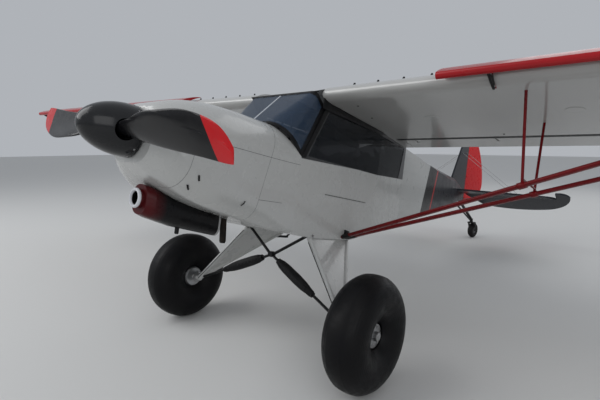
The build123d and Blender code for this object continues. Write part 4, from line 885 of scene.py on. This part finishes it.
# columns: distance out, aft
COVER_PLACES = ((1.0, 0.62), (1.95, 0.62), (2.85, 0.98), (3.75, 0.62), (4.55, 0.98))
GROMMET_PLACES = (
    (0.566, 0.214),
    (0.512, 0.53),
    (1.40, 1.16),
    (2.31, 1.16),
    (3.53, 1.16),
    (4.44, 1.16),
)
TAB_START, TAB_PITCH = 0.55, 0.205
TIP_LAMP_X = 5.318
LAMP_RED = (0.5, 0.01, 0.01, 1)
LAMP_GREEN = (0.01, 0.30, 0.10, 1)
for hand, side_name, lamp_colour in ((1, "left", LAMP_RED), (-1, "right", LAMP_GREEN)):
    wing_name = f"wing_{side_name}"
    # A black strip under the wing along the gap: painted shade of that gap.
    gap_strip = grid(30, 1)
    for vertex in gap_strip.data.vertices:
        x = GAP_STRIP_IN + GAP_STRIP_LENGTH * (vertex.co.x + 0.5)
        aft = GAP_STRIP_AFT + GAP_STRIP_WIDTH * vertex.co.y
        vertex.co = level(hand * x, aft, GAP_STRIP_HEIGHT - WING_FALL * (aft - FRONT_LINE) + x * DIHEDRAL)
    thicken(gap_strip, (0, 0, 0.003))
    settle(f"gap_shade_strip_{side_name}", black_trim)
    covers, grommets = (
        [on_skin(wing_name, (hand * x, aft, UNDER_WING), (0, 0, 1)) for x, aft in places]
        for places in (COVER_PLACES, GROMMET_PLACES)
    )
    cover_disc = round_head(0.058, 0.0022, 0.2, 40)
    set_out(f"inspection_covers_{side_name}", cover_disc, covers, wing_paint)
    grommet = round_head(0.008, 0.003)
    set_out(f"drain_grommets_{side_name}", grommet, grommets, black_trim)
    cap_seat = on_skin(wing_name, (hand * 0.86, 0.52, OVER_WING), (0, 0, -1))
    cap = round_head(0.042, 0.012, 0.3, 32)
    set_out(f"fuel_cap_{side_name}", cap, [cap_seat], plated_steel)
    bpy.ops.object.select_all(action="DESELECT")
    bpy.ops.mesh.primitive_cube_add(size=1, location=(0, 0, 0.009))
    tab = bpy.context.object
    tab.scale = (0.0016, 0.034, 0.018)
    bpy.ops.object.transform_apply(location=True, scale=True)
    pick_faces(tab, at_top)
    bpy.ops.transform.resize(value=(1, 0.45, 1), center_override=(0, 0.010, 0.018))
    bpy.ops.object.mode_set(mode="OBJECT")
    tabs = []
    for step in range(23):
        start = (hand * (TAB_START + TAB_PITCH * step), 0.15, OVER_WING)
        place, outward = on_skin(wing_name, start, (0, 0, -1))
        tabs.append((place - outward * 0.001, outward))
    set_out(f"airflow_tabs_{side_name}", tab, tabs, black_trim)
    lens = finish(f"tip_lamp_lens_{side_name}", lamp_colour, 0.08, coat=0.9)
    relief(lens, cloud(lens, 250, 1), 0.0003)
    lamp_place = level(hand * TIP_LAMP_X, 0.30, 1.652 + TIP_LAMP_X * DIHEDRAL)
    bpy.ops.object.select_all(action="DESELECT")
    bpy.ops.mesh.primitive_uv_sphere_add(segments=24, ring_count=14, radius=0.022, location=lamp_place)
    lamp_lens = bpy.context.object
    lamp_lens.scale = (1.3, 2.2, 1)
    bpy.ops.object.transform_apply(location=False, rotation=False, scale=True)
    pick_faces(lamp_lens, lambda face: abs(face.center.z) < 0.006)
    bpy.ops.mesh.inset(thickness=0.001, depth=0.002)
    settle(f"tip_lamp_{side_name}", lens, angle=60)

# Slats: pressed aluminium in gloss red enamel. They stand off the wing's nose on black steel cheek plates,
# each held by two bolts.
SIGNAL_RED = (0.36, 0.008, 0.012, 1)
red_enamel = finish("red_enamel", SIGNAL_RED, 0.22, coat=0.1, specular=0.25)
weather(red_enamel, (0.20, 0.008, 0.010, 1), 0.35, 0.17, 0.3, 3)
relief(red_enamel, cloud(red_enamel, 6, 1), 0.002)
dress(("slat_left", "slat_right"), red_enamel)
BRACKETS = (1.6, 2.5, 3.4, 4.3, 5.05)
# columns: aft, up, of a cheek plate's corners and of its bolts, before the wing's rise is added
CHEEK = (
    (-0.066, 1.668),
    (-0.094, 1.636),
    (-0.058, 1.622),
    (0.020, 1.594),
    (0.058, 1.584),
    (0.066, 1.602),
    (0.040, 1.620),
    (0.0, 1.650),
)
CHEEK_BOLTS = ((-0.058, 1.645), (0.040, 1.602))
for hand, side_name in SIDES:
    for number, bracket_x in enumerate(BRACKETS, 1):
        bpy.ops.object.select_all(action="DESELECT")
        bpy.ops.mesh.primitive_circle_add(
            vertices=len(CHEEK), radius=0.05, fill_type="NGON", location=(0, 0, 0)
        )
        cheek = bpy.context.object
        for vertex, (aft, up) in zip(cheek.data.vertices, CHEEK):
            vertex.co = level(hand * (bracket_x - 0.004), aft, up + bracket_x * DIHEDRAL)
        thicken(cheek, (hand * 0.014, 0, 0))
        ease_edges(0.0015, 1)
        settle(f"slat_cheek_{side_name}_{number}", black_fitting)
    bolts = []
    for bracket_x in BRACKETS:
        for aft, up in CHEEK_BOLTS:
            place = level(hand * (bracket_x + 0.0098), aft, up + bracket_x * DIHEDRAL)
            bolts.append((place, Vector((hand, 0, 0))))
    set_out(f"slat_bolts_{side_name}", round_head(0.007, 0.004), bolts, plated_steel)

# Lift struts and jury struts: streamlined steel tube in dark red enamel. Black forged fittings take their
# feet and heads, and a clamp on each lift strut takes the jury strut's foot.
strut_enamel = finish("strut_dark_red_enamel", (0.125, 0.003, 0.005, 1), 0.28, coat=0.05, specular=0.18)
weather(strut_enamel, (0.22, 0.006, 0.009, 1), 0.35, 0.22, 0.38, 4)
relief(strut_enamel, cloud(strut_enamel, 8, 1), 0.0015)
dress(
    [f"{name}_{hand}" for name in ("front_strut", "rear_strut", "jury_strut") for hand in ("left", "right")],
    strut_enamel,
)
STRUT_X = 3.290
STRUT_TOP = 1.610
STRUT_FOOT = Vector((0.3703, 0.571, 0.572))


def strut_point(x, spar, foot):
    """A point on a lift strut's axis at a distance out, in level flight."""
    share = (x - STRUT_FOOT.x) / (STRUT_X - STRUT_FOOT.x)
    top = STRUT_TOP - WING_FALL * (spar - FRONT_LINE) + STRUT_X * DIHEDRAL
    return Vector((x, foot + share * (spar - foot), STRUT_FOOT.z + share * (top - STRUT_FOOT.z)))


def strut_cuff(name, start, end, width, thick, material, slot):
    """A cuff round a streamlined strut between two points of its axis."""
    path = LEVEL_TURN @ (end - start)
    aft = LEVEL_TURN @ Vector((0, 1, 0))
    aft = (aft - path.normalized() * aft.dot(path.normalized())).normalized()
    turn = Matrix((aft, path.normalized().cross(aft), path.normalized())).transposed()
    bpy.ops.object.select_all(action="DESELECT")
    bpy.ops.mesh.primitive_cylinder_add(
        vertices=28, radius=0.5, depth=1, location=level(*((start + end) / 2)), rotation=turn.to_euler()
    )
    cuff = bpy.context.object
    cuff.scale = (width, thick, path.length)
    bpy.ops.object.transform_apply(location=False, rotation=False, scale=True)
    pick_faces(cuff, at_either_end)
    bpy.ops.mesh.inset(thickness=0.003, depth=0.003)
    settle(name, material, angle=50)


# columns: name, how far aft its head is, how far aft its foot is
LIFT_STRUTS = (("front", 0.180, 0.534), ("rear", 0.900, 0.608))
# columns: name, how far out each end is, width and thickness, material, slot
STRUT_CUFFS = (
    ("foot", 0.385, 0.445, (0.076, 0.040), black_fitting, "black_trim"),
    ("clamp", 1.728, 1.768, (0.080, 0.044), strut_enamel, "red_metal"),
    ("head", 3.120, 3.200, (0.076, 0.040), black_fitting, "black_trim"),
)
for hand, side_name in SIDES:
    mirror = Vector((hand, 1, 1))
    for strut_name, spar, foot in LIFT_STRUTS:
        for cuff_name, near, far, size, material, slot in STRUT_CUFFS:
            start, end = (strut_point(x, spar, foot) * mirror for x in (near, far))
            strut_cuff(f"{strut_name}_strut_{cuff_name}_{side_name}", start, end, *size, material, slot)
    shoe_x, shoe_aft = hand * 0.3795, 0.571
    shoe = block((shoe_x, shoe_aft, 0.578), (0.018, 0.120, 0.042))
    pick_faces(shoe, at_top)
    bpy.ops.transform.resize(value=(1, 0.5, 1), center_override=level(shoe_x, shoe_aft, 0.604))
    bpy.ops.mesh.extrude_region_move(TRANSFORM_OT_translate={"value": LEVEL_TURN @ Vector((0, 0, 0.03))})
    ease_edges(0.003)
    settle(f"strut_shoe_{side_name}", black_fitting)
dress(("tie_down_left", "tie_down_right"), plated_steel)

# Tail: charcoal fin, stabiliser and elevators and a red rudder, all cloth over thin steel tube, held
# square by drawn steel wires with swaged ends.
charcoal_paint = finish("charcoal_cloth_paint", CHARCOAL, 0.3, coat=0.08, specular=0.22)
weather(charcoal_paint, (0.03, 0.03, 0.03, 1), 0.12, 0.27, 0.32, 3)
tail_slant = figure(charcoal_paint, "ABSOLUTE", along(charcoal_paint, (1, 0, 0.6)))
relief(charcoal_paint, stripes(charcoal_paint, tail_slant, 0.24, 0.022), 0.0012)
dress(("fin", "stabiliser", "elevators"), charcoal_paint)
rudder_paint = finish("rudder_cloth_paint", (0.74, 0.006, 0.010, 1), 0.3, coat=0.05, specular=0.16)
weather(rudder_paint, (0.52, 0.008, 0.012, 1), 0.3, 0.22, 0.38, 4)
rudder_rise = along(rudder_paint, (0, 0.12, 1))
relief(rudder_paint, stripes(rudder_paint, rudder_rise, 0.26, 0.022), 0.0012)
dress(("rudder",), rudder_paint)
WIRE_RADIUS = 0.0028
SWAGE_SWELL = 2.1
SWAGE_LENGTH = 0.022


def wire(name, start, end):
    """A tail wire: a drawn rod with a fatter swaged length at each end."""
    start, end = level(*start), level(*end)
    bpy.ops.object.select_all(action="DESELECT")
    bpy.ops.mesh.primitive_cylinder_add(
        vertices=10,
        radius=WIRE_RADIUS,
        depth=(end - start).length,
        location=(start + end) / 2,
        rotation=(end - start).to_track_quat("Z", "Y").to_euler(),
    )
    rod = bpy.context.object
    bpy.ops.object.transform_apply(location=True, rotation=True, scale=True)
    run = (end - start).normalized()
    for way, tip in ((-1, start), (1, end)):
        pick_faces(
            rod,
            lambda face: face.normal.dot(run) * way > 0.9 and (face.center - tip).length < 0.001,
        )
        bpy.ops.mesh.extrude_region_move(TRANSFORM_OT_translate={"value": (0, 0, 0)})
        bpy.ops.transform.resize(value=(SWAGE_SWELL, SWAGE_SWELL, SWAGE_SWELL), center_override=tip)
        bpy.ops.mesh.extrude_region_move(TRANSFORM_OT_translate={"value": run * way * SWAGE_LENGTH})
    settle(name, plated_steel, angle=50)


# columns: name, its two ends
TAIL_WIRES = (
    ("fin_wire_front", (0.020, 4.24, 1.98), (0.78, 4.25, 1.400)),
    ("fin_wire_rear", (0.020, 4.42, 2.02), (0.84, 4.405, 1.400)),
    ("stabiliser_wire", (0.78, 4.26, 1.352), (0.045, 4.34, 1.262)),
)
for hand, side_name in SIDES:
    for wire_name, *ends in TAIL_WIRES:
        start, end = ((hand * x, aft, up) for x, aft, up in ends)
        wire(f"{wire_name}_{side_name}", start, end)

# Main gear legs: two faired tubes each, the space between them skinned, in the fuselage's silver paint,
# with a brake line clipped down the front tube. The gear's other tubes and the boarding step are powder
# coated black.
leg_paint = silver_paint.copy()
leg_paint.name = "gear_leg_paint"
dress(("gear_leg_left", "gear_leg_right"), leg_paint)
dress(("gear_cabane", "shock_strut_left", "shock_strut_right", "boarding_step"), black_coat)
LEG_FOOT = Vector((0.815, 0, 0))
LEG_HEAD = Vector((0.350, 0.090, 0.548))
for hand, side_name in SIDES:
    mirror = Vector((hand, 1, 1))
    line_points = []
    for share in (0.02, 0.25, 0.5, 0.75, 0.95):
        point = LEG_FOOT + (LEG_HEAD - LEG_FOOT) * share + Vector((-0.006, -0.0215, -0.006))
        line_points.append(point * mirror)
    tube_along(f"brake_line_{side_name}", line_points, 0.003)
    clips = []
    for share in (0.2, 0.5, 0.8):
        point = LEG_FOOT + (LEG_HEAD - LEG_FOOT) * share + Vector((-0.005, -0.02, -0.004))
        clips.append((level(*(point * mirror)), LEVEL_TURN @ Vector((0, -1, 0))))
    clip = round_head(0.007, 0.0065)
    set_out(f"brake_line_clips_{side_name}", clip, clips, plated_steel)
    leg_bolts = [
        on_skin(f"cabin_side_{side_name}", (hand * 0.9, aft, 0.566), (-hand, 0, 0)) for aft in (0.105, 0.600)
    ]
    leg_bolt = round_head(0.012, 0.008, 0.3, 6)
    set_out(f"leg_bolts_{side_name}", leg_bolt, leg_bolts, plated_steel)

# Shock struts: bundles of rubber cord in padded black covers, which are widest in the middle, gathered in
# at each end and laced along the underside.
cover_black = finish("shock_cover_cloth", (0.005, 0.005, 0.006, 1), 0.55, specular=0.16)
relief(cover_black, cloud(cover_black, 55, 3), 0.006)
weather(cover_black, (0.03, 0.029, 0.027, 1), 0.3, 0.42, 0.66, 25)
SHOCK_IN = Vector((0.018, 0.068, 0.351))
SHOCK_OUT = Vector((0.7526, 0.0045, 0.0271))
# columns: share of the way out, radius
COVER_PROFILE = (
    (0.105, 0.018),
    (0.115, 0.027),
    (0.16, 0.036),
    (0.24, 0.041),
    (0.42, 0.042),
    (0.52, 0.038),
    (0.585, 0.030),
    (0.64, 0.026),
    (0.652, 0.014),
)
WIDE_LACES = 6  # the first laces are on the wide part of the cover, the last three where it narrows
for hand, side_name in SIDES:
    inner, outer = (Vector((hand * end.x, end.y, end.z)) for end in (SHOCK_IN, SHOCK_OUT))
    path = LEVEL_TURN @ (outer - inner)
    bpy.ops.object.select_all(action="DESELECT")
    bpy.ops.mesh.primitive_cylinder_add(
        vertices=28, radius=COVER_PROFILE[0][1], depth=0.001, location=(0, 0, 0)
    )
    shock_cover = bpy.context.object
    bpy.ops.object.transform_apply(scale=True)
    for (share, radius), (next_share, next_radius) in zip(COVER_PROFILE, COVER_PROFILE[1:]):
        pick_faces(shock_cover, at_top)
        step_out = (0, 0, (next_share - share) * path.length)
        bpy.ops.mesh.extrude_region_move(TRANSFORM_OT_translate={"value": step_out})
        grow = next_radius / radius
        bpy.ops.transform.resize(value=(grow, grow, 1))
    bpy.ops.object.mode_set(mode="OBJECT")
    shock_cover.rotation_euler = path.to_track_quat("Z", "Y").to_euler()
    shock_cover.location = level(*(inner + (outer - inner) * COVER_PROFILE[0][0]))
    settle(f"shock_cover_{side_name}", cover_black, angle=60)
    below = LEVEL_TURN @ Vector((hand * 0.2, -0.9, -0.2))
    below = (below - path.normalized() * below.dot(path.normalized())).normalized()
    laces = []
    for step in range(9):
        share = 0.17 + 0.05 * step
        place = level(*(inner + (outer - inner) * share))
        laces.append((place + below * (0.0395 if step < WIDE_LACES else 0.033), below))
    lace = round_head(0.006, 0.003)
    set_out(f"shock_laces_{side_name}", lace, laces, black_fitting)

# Main wheels: smooth bush tyres of soft rubber, whose walls carry faint moulded rings, on turned alloy
# hubs with a bolted cover, a cap and a valve.
tyre_black = finish("tyre_rubber", (0.0045, 0.0045, 0.0055, 1), 0.5, specular=0.13)


def from_axle(material, axle):
    """How far a point is from an axle that runs across the aeroplane."""
    tree = material.node_tree
    away = tree.nodes.new("ShaderNodeVectorMath")
    away.operation = "SUBTRACT"
    away.inputs[1].default_value = axle
    flat = tree.nodes.new("ShaderNodeVectorMath")
    flat.operation = "MULTIPLY"
    flat.inputs[1].default_value = (0, 1, 1)
    reach = tree.nodes.new("ShaderNodeVectorMath")
    reach.operation = "LENGTH"
    tree.links.new(level_place(material), away.inputs[0])
    tree.links.new(away.outputs["Vector"], flat.inputs[0])
    tree.links.new(flat.outputs["Vector"], reach.inputs[0])
    return reach.outputs["Value"]


tyre_reach = from_axle(tyre_black, (0, 0, 0))
rings = figure(tyre_black, "SINE", figure(tyre_black, "MULTIPLY", tyre_reach, 420))
relief(tyre_black, between(tyre_black, rings, 0, 1, -1, 1), 0.0007)
relief(tyre_black, cloud(tyre_black, 260, 2), 0.0005)
weather(tyre_black, (0.014, 0.013, 0.012, 1), 0.3, 0.34, 0.56, 6)
dress(("main_tyre_left", "main_tyre_right"), tyre_black)
hub_alloy = finish("hub_alloy", (0.52, 0.53, 0.54, 1), 0.34, metallic=1.0)
weather(hub_alloy, (0.22, 0.21, 0.20, 1), 0.5, 0.28, 0.48, 22)
dress(("main_hub_left", "main_hub_right"), hub_alloy)
BOLT_CIRCLE = 0.060
# columns: name, distance out, radius, height, how deep its middle is sunk, sides
HUB_DISCS = (("hub_cover", 1.0550, 0.080, 0.005, 0.12, 48), ("hub_cap", 1.0848, 0.027, 0.005, 0.2, 28))
for hand, side_name in SIDES:
    wheel_body = f"main_wheel_{side_name}"
    outward = Vector((hand, 0, 0))
    bolts = []
    for step in range(6):
        turn = radians(60 * step + 12)
        bolts.append((level(hand * 1.0606, BOLT_CIRCLE * cos(turn), BOLT_CIRCLE * sin(turn)), outward))
    hub_bolt = round_head(0.0075, 0.006, 0.2, 6)
    set_out(f"hub_bolts_{side_name}", hub_bolt, bolts, plated_steel, wheel_body)
    for disc_name, x, radius, height, sunk, sides in HUB_DISCS:
        disc = round_head(radius, height, sunk, sides)
        seats = [(level(hand * x, 0, 0), outward)]
        set_out(f"{disc_name}_{side_name}", disc, seats, hub_alloy, wheel_body)
    valve = round_bar((hand * 1.052, 0.070, 0.026), (hand, 0.2, 0), 0.0042, 0.03, 12)
    pick_faces(valve, at_either_end)
    bpy.ops.mesh.inset(thickness=0.001, depth=0.002)
    settle(f"tyre_valve_{side_name}", black_trim, wheel_body)

# Brakes: a plated steel torque plate on each axle carries a small cast alloy caliper, just inboard of the
# hub.
for hand, side_name in SIDES:
    plate_seat = [(level(hand * 0.842, 0, 0), Vector((hand, 0, 0)))]
    torque_plate = round_head(0.046, 0.005, 0.1, 32)
    set_out(f"torque_plate_{side_name}", torque_plate, plate_seat, plated_steel)
    caliper = block((hand * 0.866, 0.052, 0.018), (0.038, 0.034, 0.062))
    pick_faces(caliper, at_either_side)
    bpy.ops.mesh.inset(thickness=0.007, depth=-0.003)
    ease_edges(0.003)
    settle(f"brake_caliper_{side_name}", hub_alloy)

# Tail wheel: a solid rubber tyre on a pale hub, in a black steel fork. The fork stands on a leaf spring
# that four bolts clamp to the fuselage.
TAIL_AXLE = Vector((0, 5.202, 0.7895))
TAIL_HUB_RADIUS = 0.052
tail_rubber = finish("tail_tyre_rubber", (0.006, 0.006, 0.007, 1), 0.55, specular=0.15)
tail_hub = figure(tail_rubber, "LESS_THAN", from_axle(tail_rubber, TAIL_AXLE), TAIL_HUB_RADIUS)
paint_over(tail_rubber, (0.12, 0.12, 0.125, 1), tail_hub)
weather(tail_rubber, (0.05, 0.047, 0.042, 1), 0.25, 0.45, 0.65, 12)
relief(tail_rubber, cloud(tail_rubber, 220, 2), 0.0005)
dress(("tail_wheel",), tail_rubber)
dress(("tail_spring", "tail_fork"), black_coat)
spring_bolts = []
for x in (-0.014, 0.014):
    for aft, up in ((4.46, 1.19), (4.53, 1.155)):
        spring_bolts.append(on_skin("tail_spring", (x, aft, up + 0.6), (0, 0, -1)))
spring_bolt = round_head(0.007, 0.005, 0.2, 6)
set_out("tail_spring_bolts", spring_bolt, spring_bolts, plated_steel)

# Studio: a pale floor, soft lamps, and the camera where the photograph was taken. None of it is part of
# the aeroplane.
bpy.ops.object.select_all(action="DESELECT")
bpy.ops.mesh.primitive_plane_add(size=120, location=(0, 0, -0.001))
floor = bpy.context.object
floor.name = "studio_floor"
floor.data.materials.append(finish("studio_floor_paint", (0.62, 0.62, 0.61, 1), 0.9))

world = bpy.context.scene.world or bpy.data.worlds.new("studio")
bpy.context.scene.world = world
world.use_nodes = True
sky = world.node_tree.nodes["Background"]
sky.inputs["Color"].default_value = (0.86, 0.90, 0.96, 1)
sky.inputs["Strength"].default_value = 0.5

# columns: name, place, size, power, aimed at
LAMPS = (
    ("key_lamp", (-7, -9, 9), 10, 800, (0, -2, 1)),
    ("fill_lamp", (9, -8, 6), 8, 260, (0, -1, 1)),
    ("rear_lamp", (3, 10, 8), 10, 220, (0, 0, 1)),
)
for name, place, size, power, aim in LAMPS:
    bpy.ops.object.light_add(type="AREA", location=place)
    lamp = bpy.context.object
    lamp.name = name
    lamp.data.size = size
    lamp.data.energy = power
    lamp.rotation_euler = (Vector(aim) - Vector(place)).to_track_quat("-Z", "Y").to_euler()

CAMERA_DOWN = 7.62  # degrees below the horizon
CAMERA_ROUND = 39.96  # degrees from straight aft
bpy.ops.object.camera_add(
    location=(2.3653, -2.3189 + MAIN_AXLE.y, 1.6426),
    rotation=(radians(90 - CAMERA_DOWN), 0, radians(CAMERA_ROUND)),
)
camera = bpy.context.object
camera.data.sensor_width = 36
camera.data.lens = 25.24
camera.data.clip_end = 500
bpy.context.scene.camera = camera
bpy.context.scene.view_settings.view_transform = "Standard"
